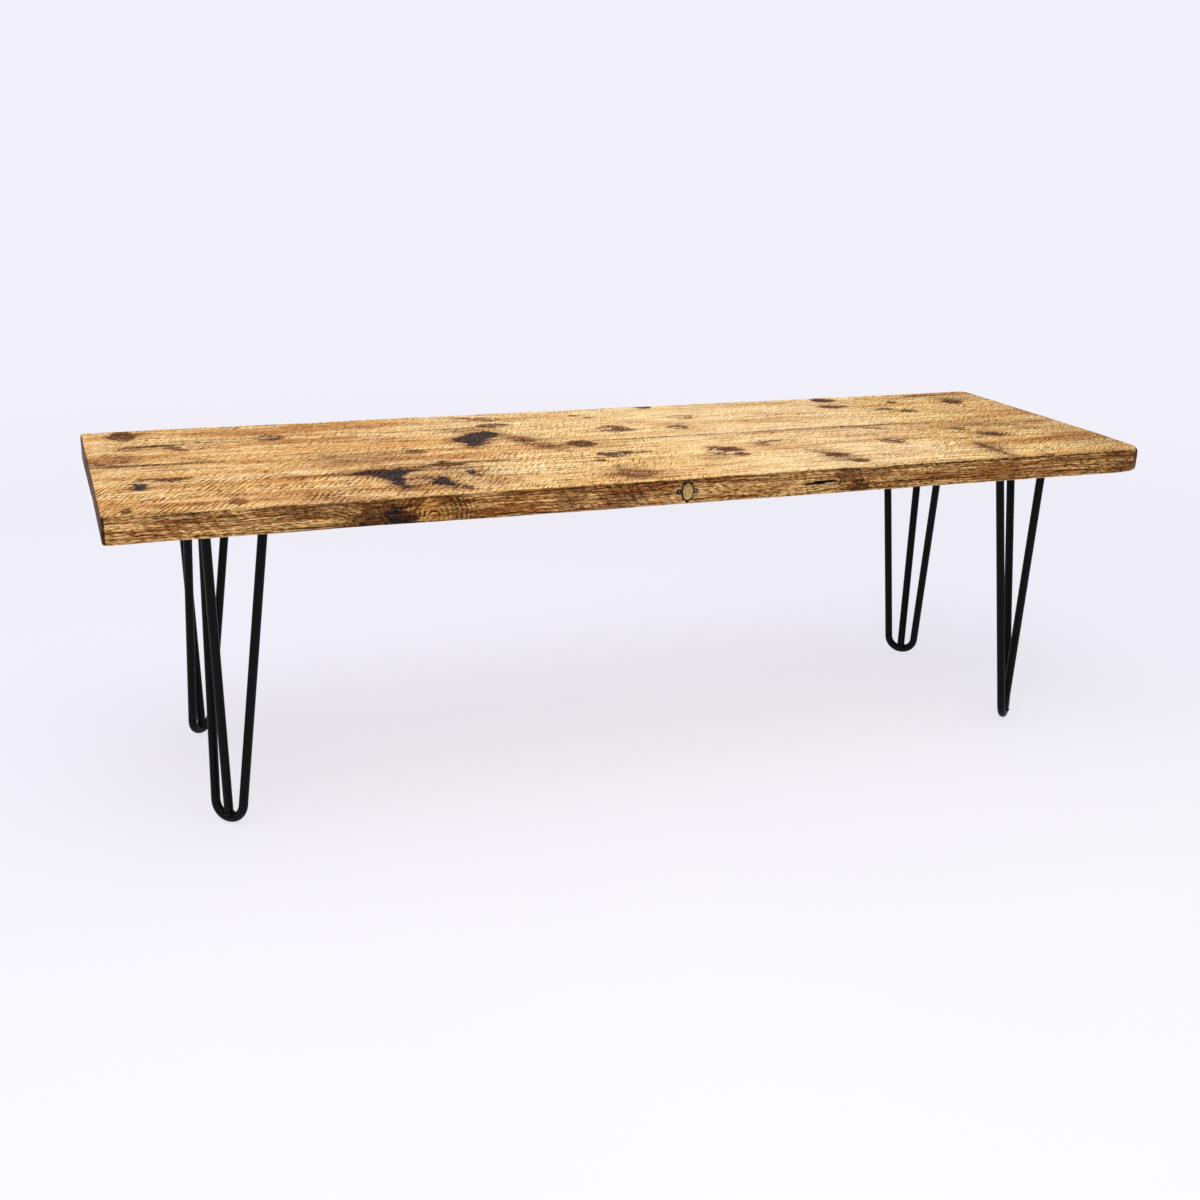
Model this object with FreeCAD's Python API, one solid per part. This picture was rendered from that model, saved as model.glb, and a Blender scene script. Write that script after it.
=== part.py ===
import FreeCAD, Part
import math
import os

# A two-board wooden bench on four three-rod hairpin legs.
# Millimetres. +X runs along the seat, +Y to the back, +Z up.
# The origin is on the floor, under the middle of the seat.

# Seat
SEAT_LENGTH = 1460.0
SEAT_HEIGHT = 440.0
FRONT_BOARD_WIDTH = 248.0
BACK_BOARD_WIDTH = 224.0
BOARD_THICKNESS = 35.0
FRONT_BOARD_END_SETBACK = 2.0
EDGE_EASE_RADIUS = 3.0
FRONT_RIGHT_CORNER_RADIUS = 27.0
FRONT_LEFT_CORNER_RADIUS = 6.0
BACK_RIGHT_CORNER_RADIUS = 12.0
BACK_LEFT_CORNER_RADIUS = 8.0

# Dowels across the seam
DOWEL_DIAMETER = 10.0
DOWEL_LENGTH = 80.0
DOWEL_COUNT = 6
DOWEL_END_MARGIN = 60.0
DOWEL_CHAMFER = 1.0
DOWEL_CLEARANCE = 0.1
DOWEL_END_GAP = 0.5

# Legs
LEG_END_INSET = 134.0
LEG_SIDE_INSET = 83.0
ROD_DIAMETER = 12.0
BEND_RADIUS = 22.0
ARM_HALF_SPAN = 47.0
ARM_SETBACK = 39.0
BRACE_REACH = 14.4
BRACE_COPE_DEPTH = 2.0

# Mounting plates
PLATE_THICKNESS = 4.0
PLATE_ROD_MARGIN = 7.0
PLATE_CORNER_RADIUS = 6.0

# Welds
PLATE_WELD_RADIUS = 3.2
FOOT_WELD_RADIUS = 2.0

# Screws through the plates
SCREW_DIAMETER = 5.0
SCREW_HEAD_DIAMETER = 9.5
SCREW_HEAD_HEIGHT = 3.2
SCREW_HEAD_ROUNDING = 1.4
SCREW_TIP_LENGTH = 5.0
SCREW_TIP_RADIUS = 0.4
SCREW_COVER = 9.0
SCREW_ROD_GAP = 13.0
SCREW_EDGE_MARGIN = 11.0
SCREW_PLATE_CLEARANCE = 0.25
SCREW_WOOD_CLEARANCE = 0.05
RECESS_LENGTH = 5.0
RECESS_WIDTH = 1.2
RECESS_DEPTH = 1.8

# Oval badge on the front edge
BADGE_X = -2.0
BEZEL_WIDTH = 20.0
BEZEL_HEIGHT = 26.0
BEZEL_THICKNESS = 2.0
BEZEL_LOBE_RADIUS = 2.4
EAR_OFFSET = 11.8
EAR_RADIUS = 3.6
EAR_THICKNESS = 1.4
DISC_WIDTH = 14.4
DISC_HEIGHT = 21.6
DISC_THICKNESS = 2.4
DISC_CROWN_RADIUS = 70.0
DISC_CLEARANCE = 0.1
PIN_DIAMETER = 1.6
PIN_LENGTH = 14.0
PIN_TIP_LENGTH = 2.5
PIN_HEAD_DIAMETER = 4.4
PIN_HEAD_HEIGHT = 1.3
PIN_CLEARANCE = 0.05

# Places that follow from the sizes
ROD_RADIUS = ROD_DIAMETER / 2
SEAT_WIDTH = FRONT_BOARD_WIDTH + BACK_BOARD_WIDTH
RIGHT_X = SEAT_LENGTH / 2
LEFT_X = -RIGHT_X
FRONT_Y = -SEAT_WIDTH / 2
BACK_Y = SEAT_WIDTH / 2
SEAM_Y = FRONT_Y + FRONT_BOARD_WIDTH
BOARD_BOTTOM = SEAT_HEIGHT - BOARD_THICKNESS
BOARD_MIDDLE = SEAT_HEIGHT - BOARD_THICKNESS / 2
PLATE_BOTTOM = BOARD_BOTTOM - PLATE_THICKNESS
FOOT_X = RIGHT_X - LEG_END_INSET
FOOT_Y = BACK_Y - LEG_SIDE_INSET
SCREW_LENGTH = PLATE_THICKNESS + BOARD_THICKNESS - SCREW_COVER
DIAGONAL = math.sqrt(0.5)
FULL_TURN = 360.0
TOLERANCE = 1e-6
DOWN = FreeCAD.Vector(0, 0, -1)
UP = FreeCAD.Vector(0, 0, 1)
TO_FRONT = FreeCAD.Vector(0, -1, 0)

# Legs by name, with the signs of the seat corner that each stands at
LEGS = {
    "front_left": (-1, -1),
    "front_right": (1, -1),
    "back_left": (-1, 1),
    "back_right": (1, 1),
}


def vec(x, y, z):
    return FreeCAD.Vector(x, y, z)


def revolve(points):
    """Turn a closed outline of (radius, height) points about +Z."""
    corners = [vec(radius, 0, height) for radius, height in points]
    face = Part.Face(Part.makePolygon(corners + corners[:1]))
    return face.revolve(vec(0, 0, 0), UP, FULL_TURN)


def pointing(shape, place, direction):
    """Move a shape made along +Z to a place, with +Z turned to the direction."""
    turned = shape.copy()
    turned.Placement = FreeCAD.Placement(place, FreeCAD.Rotation(UP, direction))
    return turned


def above(height):
    """A block that covers everything above a height, for trimming rods at the plates."""
    block = Part.makeBox(2 * SEAT_LENGTH, 2 * SEAT_LENGTH, BOARD_THICKNESS)
    block.translate(vec(-SEAT_LENGTH, -SEAT_LENGTH, height))
    return block


# Boards
def board_blank(left, right, seam, edge, left_radius, right_radius):
    """A board from the seam to its outer edge, with rounded outer corners and eased arrises."""
    outward = 1 if edge > seam else -1
    corner = 1 - DIAGONAL
    left_start = vec(left, edge - outward * left_radius, BOARD_BOTTOM)
    left_middle = vec(left + corner * left_radius, edge - outward * corner * left_radius, BOARD_BOTTOM)
    left_end = vec(left + left_radius, edge, BOARD_BOTTOM)
    right_start = vec(right - right_radius, edge, BOARD_BOTTOM)
    right_middle = vec(right - corner * right_radius, edge - outward * corner * right_radius, BOARD_BOTTOM)
    right_end = vec(right, edge - outward * right_radius, BOARD_BOTTOM)
    seam_left = vec(left, seam, BOARD_BOTTOM)
    seam_right = vec(right, seam, BOARD_BOTTOM)
    outline = [
        Part.LineSegment(seam_left, left_start),
        Part.Arc(left_start, left_middle, left_end),
        Part.LineSegment(left_end, right_start),
        Part.Arc(right_start, right_middle, right_end),
        Part.LineSegment(right_end, seam_right),
        Part.LineSegment(seam_right, seam_left),
    ]
    face = Part.Face(Part.Wire([piece.toShape() for piece in outline]))
    board = face.extrude(vec(0, 0, BOARD_THICKNESS))
    return board.makeFillet(EDGE_EASE_RADIUS, outer_arrises(board, seam))


def outer_arrises(board, seam):
    """The edges round the top and bottom of a board, apart from those on the seam."""
    chosen = []
    for edge in board.Edges:
        box = edge.BoundBox
        level = box.ZLength < TOLERANCE
        on_seam = box.YLength < TOLERANCE and abs(box.YMin - seam) < TOLERANCE
        if level and not on_seam:
            chosen.append(edge)
    return chosen


def dowel_places():
    """Where the dowels cross the seam, evenly spaced between the end margins."""
    first = LEFT_X + DOWEL_END_MARGIN
    step = (SEAT_LENGTH - 2 * DOWEL_END_MARGIN) / (DOWEL_COUNT - 1)
    return [vec(first + number * step, SEAM_Y, BOARD_MIDDLE) for number in range(DOWEL_COUNT)]


def dowel_at(place):
    half = DOWEL_LENGTH / 2
    radius = DOWEL_DIAMETER / 2
    outline = [
        (0, -half),
        (radius - DOWEL_CHAMFER, -half),
        (radius, DOWEL_CHAMFER - half),
        (radius, half - DOWEL_CHAMFER),
        (radius - DOWEL_CHAMFER, half),
        (0, half),
    ]
    return pointing(revolve(outline), place, TO_FRONT)


def dowel_hole_at(place):
    half = DOWEL_LENGTH / 2 + DOWEL_END_GAP
    radius = DOWEL_DIAMETER / 2 + DOWEL_CLEARANCE
    return Part.makeCylinder(radius, 2 * half, place + vec(0, half, 0), TO_FRONT)


def front_board():
    blank = board_blank(
        LEFT_X + FRONT_BOARD_END_SETBACK,
        RIGHT_X,
        SEAM_Y,
        FRONT_Y,
        FRONT_LEFT_CORNER_RADIUS,
        FRONT_RIGHT_CORNER_RADIUS,
    )
    holes = [dowel_hole_at(place) for place in dowel_places()]
    holes += screw_holes("front_left") + screw_holes("front_right")
    holes += [badge_pin_at(place, PIN_CLEARANCE) for place in badge_pin_places()]
    return blank.cut(holes)


def back_board():
    blank = board_blank(
        LEFT_X,
        RIGHT_X,
        SEAM_Y,
        BACK_Y,
        BACK_LEFT_CORNER_RADIUS,
        BACK_RIGHT_CORNER_RADIUS,
    )
    holes = [dowel_hole_at(place) for place in dowel_places()]
    holes += screw_holes("back_left") + screw_holes("back_right")
    return blank.cut(holes)


# Legs
def leg_point(leg, outward, across, height):
    """A point by a leg's own axes: outward to the seat corner, across it, and up from the floor."""
    sign_x, sign_y = LEGS[leg]
    along_x = FOOT_X + DIAGONAL * (outward + across)
    along_y = FOOT_Y + DIAGONAL * (outward - across)
    return vec(sign_x * along_x, sign_y * along_y, height)


def hairpin_path(leg):
    """The points of the bent rod's centre line: arm end, bend start, foot, bend end, arm end."""
    rise = PLATE_BOTTOM - ROD_RADIUS
    slope = math.hypot(rise, ARM_SETBACK)
    to_arm_end = math.atan2(slope - BEND_RADIUS, ARM_HALF_SPAN)
    distance = math.hypot(ARM_HALF_SPAN, slope - BEND_RADIUS)
    tangent = to_arm_end - math.acos(BEND_RADIUS / distance)
    touch_across = BEND_RADIUS * math.cos(tangent)
    touch_along = BEND_RADIUS + BEND_RADIUS * math.sin(tangent)
    flat_path = [
        (-ARM_HALF_SPAN, slope),
        (-touch_across, touch_along),
        (0, 0),
        (touch_across, touch_along),
        (ARM_HALF_SPAN, slope),
    ]
    path = []
    for across, along in flat_path:
        share = along / slope
        path.append(leg_point(leg, -ARM_SETBACK * share, across, ROD_RADIUS + rise * share))
    return path


def hairpin_rod(leg):
    """The bent rod: a round bend at the foot and two straight arms that lean in and spread apart."""
    first_end, bend_start, foot, bend_end, second_end = hairpin_path(leg)
    first_end += (first_end - bend_start).normalize() * ROD_DIAMETER
    second_end += (second_end - bend_end).normalize() * ROD_DIAMETER
    path = [
        Part.LineSegment(first_end, bend_start),
        Part.Arc(bend_start, foot, bend_end),
        Part.LineSegment(bend_end, second_end),
    ]
    section = Part.Wire(Part.Circle(first_end, bend_start - first_end, ROD_RADIUS).toShape())
    spine = Part.Wire([piece.toShape() for piece in path])
    rod = spine.makePipeShell([section], True, True)
    return rod.cut(above(PLATE_BOTTOM))


def brace_axis(leg):
    """The foot of the brace on the bend's centre line, and the direction up the brace."""
    foot = leg_point(leg, 0, 0, ROD_RADIUS)
    direction = leg_point(leg, BRACE_REACH, 0, PLATE_BOTTOM) - foot
    return foot, direction.normalize()


def brace_rod(leg, hairpin):
    """The third rod, coped over the bend and cut off flat under the plate."""
    foot, direction = brace_axis(leg)
    start = foot + direction * (ROD_RADIUS - BRACE_COPE_DEPTH)
    rod = Part.makeCylinder(ROD_RADIUS, PLATE_BOTTOM, start, direction)
    return rod.cut([above(PLATE_BOTTOM), hairpin])


def screw_places():
    """Screw positions on the plate: beside each arm, between the rods, and in the middle."""
    beside_arm = SCREW_ROD_GAP + ROD_RADIUS
    places = []
    for side in (-1, 1):
        arm_outward = -ARM_SETBACK - DIAGONAL * beside_arm
        arm_across = side * (ARM_HALF_SPAN - DIAGONAL * beside_arm)
        places.append((arm_outward, arm_across))
        places.append(((BRACE_REACH - ARM_SETBACK) / 2, side * ARM_HALF_SPAN / 2))
    places.append(((BRACE_REACH - ARM_SETBACK) / 2, 0))
    return places


def mounting_plate(leg):
    """A five-sided plate, square to the seat, with its inner corner cut off across the diagonal."""
    margin = ROD_RADIUS + PLATE_ROD_MARGIN
    outer = DIAGONAL * BRACE_REACH + margin
    inner = DIAGONAL * (ARM_SETBACK + ARM_HALF_SPAN) + margin
    arm_side = DIAGONAL * (ARM_HALF_SPAN - ARM_SETBACK)
    step = arm_side - SCREW_ROD_GAP - ROD_RADIUS - SCREW_EDGE_MARGIN
    corners = [(outer, outer), (outer, -inner), (step, -inner), (-inner, step), (-inner, outer)]
    sign_x, sign_y = LEGS[leg]
    points = [vec(sign_x * (FOOT_X + x), sign_y * (FOOT_Y + y), PLATE_BOTTOM) for x, y in corners]
    face = Part.Face(Part.makePolygon(points + points[:1]))
    plate = face.extrude(vec(0, 0, PLATE_THICKNESS))
    upright = [edge for edge in plate.Edges if edge.BoundBox.ZLength > PLATE_THICKNESS / 2]
    plate = plate.makeFillet(PLATE_CORNER_RADIUS, upright)
    radius = SCREW_DIAMETER / 2 + SCREW_PLATE_CLEARANCE
    holes = []
    for outward, across in screw_places():
        place = leg_point(leg, outward, across, PLATE_BOTTOM)
        holes.append(Part.makeCylinder(radius, PLATE_THICKNESS, place, UP))
    return plate.cut(holes)


def weld_ring(place, direction, bead):
    """A round bead about a rod: a half disc turned about the rod's own axis."""
    lower = vec(ROD_RADIUS, 0, -bead)
    crest = vec(ROD_RADIUS + bead, 0, 0)
    upper = vec(ROD_RADIUS, 0, bead)
    section = [Part.Arc(lower, crest, upper), Part.LineSegment(upper, lower)]
    face = Part.Face(Part.Wire([piece.toShape() for piece in section]))
    return pointing(face.revolve(vec(0, 0, 0), UP, FULL_TURN), place, direction)


def weld_beads(leg, hairpin):
    """Round beads where the rods meet the plate, and a smaller one where the brace meets the bend."""
    first_end, bend_start, _, bend_end, second_end = hairpin_path(leg)
    foot, brace_direction = brace_axis(leg)
    rods = [
        (first_end, first_end - bend_start),
        (second_end, second_end - bend_end),
        (leg_point(leg, BRACE_REACH, 0, PLATE_BOTTOM), brace_direction),
    ]
    beads = []
    for top, direction in rods:
        beads.append(weld_ring(top, direction, PLATE_WELD_RADIUS).cut(above(PLATE_BOTTOM)))
    crown = foot + brace_direction * ROD_RADIUS
    beads.append(weld_ring(crown, brace_direction, FOOT_WELD_RADIUS).cut(hairpin))
    return Part.makeCompound([solid for bead in beads for solid in bead.Solids])


# Screws
def screw_blank():
    """A round-headed wood screw, point up, with the underside of its head at height 0."""
    radius = SCREW_DIAMETER / 2
    head = Part.makeCylinder(SCREW_HEAD_DIAMETER / 2, SCREW_HEAD_HEIGHT, vec(0, 0, 0), DOWN)
    rim = [edge for edge in head.Edges if edge.BoundBox.ZMax < -SCREW_HEAD_HEIGHT / 2]
    head = head.makeFillet(SCREW_HEAD_ROUNDING, rim)
    shank = revolve(screw_outline(radius, SCREW_TIP_RADIUS))
    screw = head.fuse(shank).removeSplitter()
    slots = []
    for length, width in ((RECESS_LENGTH, RECESS_WIDTH), (RECESS_WIDTH, RECESS_LENGTH)):
        slot = Part.makeBox(length, width, RECESS_DEPTH)
        slot.translate(vec(-length / 2, -width / 2, -SCREW_HEAD_HEIGHT))
        slots.append(slot)
    return screw.cut(slots)


def screw_outline(radius, tip_radius):
    """The outline of the shank: straight, then a blunt point."""
    return [
        (0, 0),
        (radius, 0),
        (radius, SCREW_LENGTH - SCREW_TIP_LENGTH),
        (tip_radius, SCREW_LENGTH),
        (0, SCREW_LENGTH),
    ]


def screw_spots(leg):
    return [leg_point(leg, outward, across, PLATE_BOTTOM) for outward, across in screw_places()]


def plate_screws(leg):
    blank = screw_blank()
    return Part.makeCompound([pointing(blank, place, UP) for place in screw_spots(leg)])


def screw_holes(leg):
    """The holes that the screws cut in a board."""
    radius = SCREW_DIAMETER / 2 + SCREW_WOOD_CLEARANCE
    hole = revolve(screw_outline(radius, SCREW_TIP_RADIUS + SCREW_WOOD_CLEARANCE))
    return [pointing(hole, place, UP) for place in screw_spots(leg)]


# Badge
def oval(width, height, thickness):
    """An upright oval standing on the seat's front face, in the middle of the badge."""
    centre = vec(BADGE_X, FRONT_Y, BOARD_MIDDLE)
    tip = centre + vec(0, 0, height / 2)
    flank = centre + vec(width / 2, 0, 0)
    edge = Part.Ellipse(tip, flank, centre).toShape()
    return Part.Face(Part.Wire(edge)).extrude(TO_FRONT * thickness)


def badge_pin_places():
    return [vec(BADGE_X + side * EAR_OFFSET, FRONT_Y, BOARD_MIDDLE) for side in (-1, 1)]


def badge_bezel():
    body = oval(BEZEL_WIDTH, BEZEL_HEIGHT, BEZEL_THICKNESS)
    extras = []
    for side in (-1, 1):
        lobe = vec(BADGE_X, FRONT_Y, BOARD_MIDDLE + side * BEZEL_HEIGHT / 2)
        extras.append(Part.makeCylinder(BEZEL_LOBE_RADIUS, BEZEL_THICKNESS, lobe, TO_FRONT))
    for place in badge_pin_places():
        extras.append(Part.makeCylinder(EAR_RADIUS, EAR_THICKNESS, place, TO_FRONT))
    opening = oval(
        DISC_WIDTH + 2 * DISC_CLEARANCE,
        DISC_HEIGHT + 2 * DISC_CLEARANCE,
        BEZEL_THICKNESS,
    )
    holes = []
    for place in badge_pin_places():
        holes.append(Part.makeCylinder(PIN_DIAMETER / 2 + PIN_CLEARANCE, BEZEL_THICKNESS, place, TO_FRONT))
    return body.fuse(extras).removeSplitter().cut([opening] + holes)


def badge_disc():
    """A plain oval plate with a slightly crowned front."""
    blank = oval(DISC_WIDTH, DISC_HEIGHT, DISC_THICKNESS)
    centre = vec(BADGE_X, FRONT_Y - DISC_THICKNESS + DISC_CROWN_RADIUS, BOARD_MIDDLE)
    return blank.common(Part.makeSphere(DISC_CROWN_RADIUS, centre))


def badge_pin_at(place, clearance):
    """The shank of a pin, driven back into the board, with a little more all round for its hole."""
    radius = PIN_DIAMETER / 2 + clearance
    outline = [
        (0, -EAR_THICKNESS),
        (radius, -EAR_THICKNESS),
        (radius, PIN_LENGTH - PIN_TIP_LENGTH),
        (0, PIN_LENGTH + clearance),
    ]
    return pointing(revolve(outline), place, -TO_FRONT)


def badge_pins():
    """Two pins with domed heads on the bezel's ears."""
    half = PIN_HEAD_DIAMETER / 2
    crown = (half ** 2 + PIN_HEAD_HEIGHT ** 2) / (2 * PIN_HEAD_HEIGHT)
    pins = []
    for place in badge_pin_places():
        seat = place + TO_FRONT * EAR_THICKNESS
        ball = Part.makeSphere(crown, seat + TO_FRONT * (PIN_HEAD_HEIGHT - crown))
        head = ball.common(Part.makeCylinder(half, PIN_HEAD_HEIGHT, seat, TO_FRONT))
        pins.append(head.fuse(badge_pin_at(place, 0)).removeSplitter())
    return Part.makeCompound(pins)


def leg_nodes(leg):
    hairpin = hairpin_rod(leg)
    brace = brace_rod(leg, hairpin)
    return {
        leg + "_hairpin_rod": hairpin,
        leg + "_brace_rod": brace,
        leg + "_mounting_plate": mounting_plate(leg),
        leg + "_weld_beads": weld_beads(leg, hairpin),
        leg + "_plate_screws": plate_screws(leg),
    }


def all_nodes():
    nodes = {
        "front_board": front_board(),
        "back_board": back_board(),
        "joint_dowels": Part.makeCompound([dowel_at(place) for place in dowel_places()]),
        "badge_bezel": badge_bezel(),
        "badge_disc": badge_disc(),
        "badge_pins": badge_pins(),
    }
    for leg in LEGS:
        nodes.update(leg_nodes(leg))
    return nodes


os.makedirs("parts", exist_ok=True)
for name, shape in all_nodes().items():
    shape.exportStep(os.path.join("parts", name + ".step"))
    state = "valid" if shape.isValid() else "not valid"
    print(name, len(shape.Solids), "solids", round(shape.Volume), "mm3", state)
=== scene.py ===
"""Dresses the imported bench: two rough-sawn waxed boards, black hairpin legs and a small oval badge."""
import logging
import math
from dataclasses import dataclass, field
from enum import Enum
from typing import Sequence, Union

import bpy
import numpy as np
from mathutils import Matrix, Vector


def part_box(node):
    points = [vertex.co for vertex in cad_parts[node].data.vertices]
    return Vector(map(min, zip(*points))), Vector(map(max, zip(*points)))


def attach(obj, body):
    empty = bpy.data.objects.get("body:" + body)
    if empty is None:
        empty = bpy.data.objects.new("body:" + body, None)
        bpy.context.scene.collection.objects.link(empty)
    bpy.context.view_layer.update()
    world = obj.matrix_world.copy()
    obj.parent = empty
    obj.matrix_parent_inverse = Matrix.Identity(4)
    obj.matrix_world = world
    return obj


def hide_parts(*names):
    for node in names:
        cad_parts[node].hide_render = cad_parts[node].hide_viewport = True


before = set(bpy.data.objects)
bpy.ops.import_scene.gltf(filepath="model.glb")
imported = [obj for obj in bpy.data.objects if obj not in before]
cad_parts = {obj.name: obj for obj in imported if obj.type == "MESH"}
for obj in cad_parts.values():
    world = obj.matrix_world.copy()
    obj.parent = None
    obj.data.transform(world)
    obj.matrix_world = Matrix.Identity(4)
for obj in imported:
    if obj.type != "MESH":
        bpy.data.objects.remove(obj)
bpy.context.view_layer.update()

log = logging.getLogger("bench")

MM = 0.001
BODY = "root"
FULL_TURN = 2.0 * math.pi
TINY = 1e-6
FAR = 1.0e6
LENS_SOFTNESS = 0.02
LATTICE_STEPS = (374761393, 668265263, 144269504)
LATTICE_MIX = 1274126177
LATTICE_WORD = 0xFFFFFFFF
LATTICE_TOP = 0xFFFF
NOISE_SPREAD = 0.125
SHARED_SEED = 0
BLUR_CORE = 1.5

Array = np.ndarray
Socket = bpy.types.NodeSocket
Tone = tuple[float, float, float, float]
Triple = tuple[float, float, float]
Pair = tuple[float, float]
Value = Union[Socket, float, tuple]


def tone(red: int, green: int, blue: int) -> Tone:
    """Turns a colour written in 0 to 255 screen steps into the linear colour that a shader takes.

    Args:
        red: the red step.
        green: the green step.
        blue: the blue step.

    Returns:
        The linear colour with full opacity.
    """
    def linear(step: int) -> float:
        """Straightens one screen step by the sRGB curve."""
        share = step / 255.0
        return share / 12.92 if share <= 0.04045 else ((share + 0.055) / 1.055) ** 2.4

    return (linear(red), linear(green), linear(blue), 1.0)


def unevenness(u: Array, v: Array, seed: int) -> Array:
    """Smooth lattice noise, the same on every run.

    Args:
        u: first coordinate, one unit per lattice cell.
        v: second coordinate.
        seed: picks the lattice.

    Returns:
        Values from 0 to 1, as many as there are coordinates.
    """
    def corner(i: Array, j: Array) -> Array:
        """Gives the value at one lattice point."""
        mixed = (i * LATTICE_STEPS[0] + j * LATTICE_STEPS[1] + seed * LATTICE_STEPS[2]) & LATTICE_WORD
        mixed = ((mixed ^ (mixed >> 13)) * LATTICE_MIX) & LATTICE_WORD
        return ((mixed ^ (mixed >> 16)) & LATTICE_TOP) / LATTICE_TOP

    i = np.floor(u).astype(np.int64)
    j = np.floor(v).astype(np.int64)
    a = u - i
    b = v - j
    a = a * a * (3.0 - 2.0 * a)
    b = b * b * (3.0 - 2.0 * b)
    low = corner(i, j) * (1.0 - a) + corner(i + 1, j) * a
    high = corner(i, j + 1) * (1.0 - a) + corner(i + 1, j + 1) * a
    return low * (1.0 - b) + high * b


def ease(value: Array, low: float, high: float) -> Array:
    """Goes smoothly from 0 at low to 1 at high."""
    share = np.clip((value - low) / (high - low), 0.0, 1.0)
    return share * share * (3.0 - 2.0 * share)


def hump(value: Array, middle: Union[Array, float], width: float) -> Array:
    """Gives 1 at the middle and falls off to both sides over the width."""
    return np.exp(-(((value - middle) / width) ** 2))


def lift(value: Array, least: float) -> Array:
    """Raises values from 0 to 1, so that they start at the least and still end at 1."""
    return least + (1.0 - least) * value


@dataclass(frozen=True)
class Ripple:
    """A layer of smooth noise: its own lattice, its cell in millimetres, its height and its zero."""

    lattice: int
    length: float
    width: float = 1.0
    height: float = 1.0
    middle: float = 0.0

    def at(self, u: Array, v: Array, seed: int) -> Array:
        """Works out the layer at points.

        Args:
            u: first coordinate, along the cell's length.
            v: second coordinate.
            seed: shifts the lattice, so that two boards differ.

        Returns:
            The layer's height at each point.
        """
        noise = unevenness(u / self.length, v / self.width, seed + self.lattice)
        return self.height * (noise - self.middle)

    def along(self, u: Array, seed: int) -> Array:
        """Gives the layer along one line."""
        return self.at(u, np.zeros_like(u), seed)


def deselect() -> None:
    """Leaves edit mode and deselects every object."""
    if bpy.context.object and bpy.context.object.mode != "OBJECT":
        bpy.ops.object.mode_set(mode="OBJECT")
    bpy.ops.object.select_all(action="DESELECT")


class MarkKind(Enum):
    """How a mark in the wood shows."""

    CHAR = "near black patch"
    KNOT = "dark brown knot"
    RING = "knot with a pale heart and dark rings"
    HAZE = "soft brown stain"
    CRACK = "thin dark line"


@dataclass(frozen=True)
class Mark:
    """An oval mark in a board, in millimetres, by its place on the face that shows it."""

    kind: MarkKind
    x: float
    y: float
    along: float
    across: float
    turn: float = 0.0
    strength: float = 1.0
    lens: bool = True

    def reach(self, x: Array, y: Array) -> Array:
        """Works out how far points are from the mark's middle, where 1 is its rim.

        Args:
            x: first coordinate on the face, in millimetres.
            y: second coordinate.

        Returns:
            The distances, which draw a lens for a knot with pointed ends and an oval for the rest.
        """
        angle = math.radians(self.turn)
        u = (x - self.x) * math.cos(angle) + (y - self.y) * math.sin(angle)
        v = (y - self.y) * math.cos(angle) - (x - self.x) * math.sin(angle)
        u = 2.0 * u / self.along
        v = 2.0 * v / self.across
        if self.lens and self.kind in (MarkKind.KNOT, MarkKind.RING):
            return np.sqrt(v * v + LENS_SOFTNESS) + u * u
        return np.hypot(u, v)

    def inside(self, x: Array, y: Array) -> Array:
        """Gives about how many millimetres points lie inside the rim, negative outside."""
        return (1.0 - self.reach(x, y)) * 0.5 * min(self.along, self.across)

    def size(self) -> float:
        """Gives the mark's mean size."""
        return math.sqrt(self.along * self.across)


@dataclass(frozen=True)
class Patch:
    """A dark patch with a drawn outline, in millimetres on the top face."""

    outline: tuple[Pair, ...]

    def inside(self, x: Array, y: Array) -> Array:
        """Works out how many millimetres points lie inside the outline.

        Args:
            x: places along the bench, in millimetres.
            y: places across it.

        Returns:
            The distances to the outline, negative outside.
        """
        nearest = np.full(x.shape, FAR)
        within = np.zeros(x.shape, bool)
        for (ax, ay), (bx, by) in zip(self.outline, self.outline[1:] + self.outline[:1]):
            dx = bx - ax
            dy = by - ay
            share = np.clip(((x - ax) * dx + (y - ay) * dy) / (dx * dx + dy * dy), 0.0, 1.0)
            nearest = np.minimum(nearest, np.hypot(x - ax - share * dx, y - ay - share * dy))
            crosses = (ay > y) != (by > y)
            level = dy if abs(dy) > TINY else TINY
            within ^= crosses & (x < ax + (y - ay) * dx / level)
        return np.where(within, nearest, -nearest)


@dataclass(frozen=True)
class Halo:
    """The stain round a mark: its share, and how far inside the rim it starts and is full."""

    share: float
    span: Pair


@dataclass(frozen=True)
class Blur:
    """A mark without a rim: the field that it darkens, and how steeply it fades."""

    field: str
    steepness: float
    power: float


CHAR, KNOT, RING, HAZE, CRACK = MarkKind

HALOS = {CHAR: Halo(1.0, (-14.0, 4.0)), KNOT: Halo(0.55, (-12.0, 3.0)), RING: Halo(0.35, (-10.0, 2.0))}
BLURS = {HAZE: Blur("haze", 0.9, 2.4), CRACK: Blur("crack", 1.1, 2.0)}

TOP_PATCHES = (
    Patch(((-424, -94), (-395, -87), (-318, -86), (-300, -81), (-305, -93), (-322, -101), (-338, -112),
           (-350, -130), (-356, -160), (-352, -188), (-367, -192), (-372, -165), (-375, -140),
           (-392, -118), (-412, -103))),
    Patch(((-305, -141), (-297, -158), (-296, -190), (-302, -207), (-312, -190), (-322, -180),
           (-337, -176), (-326, -166), (-314, -152))),
    Patch(((-165, 115), (-157, 103), (-161, 88), (-174, 68), (-189, 49), (-205, 24), (-217, 13),
           (-223, 38), (-236, 63), (-217, 82), (-191, 102), (-177, 114))),
)

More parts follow.
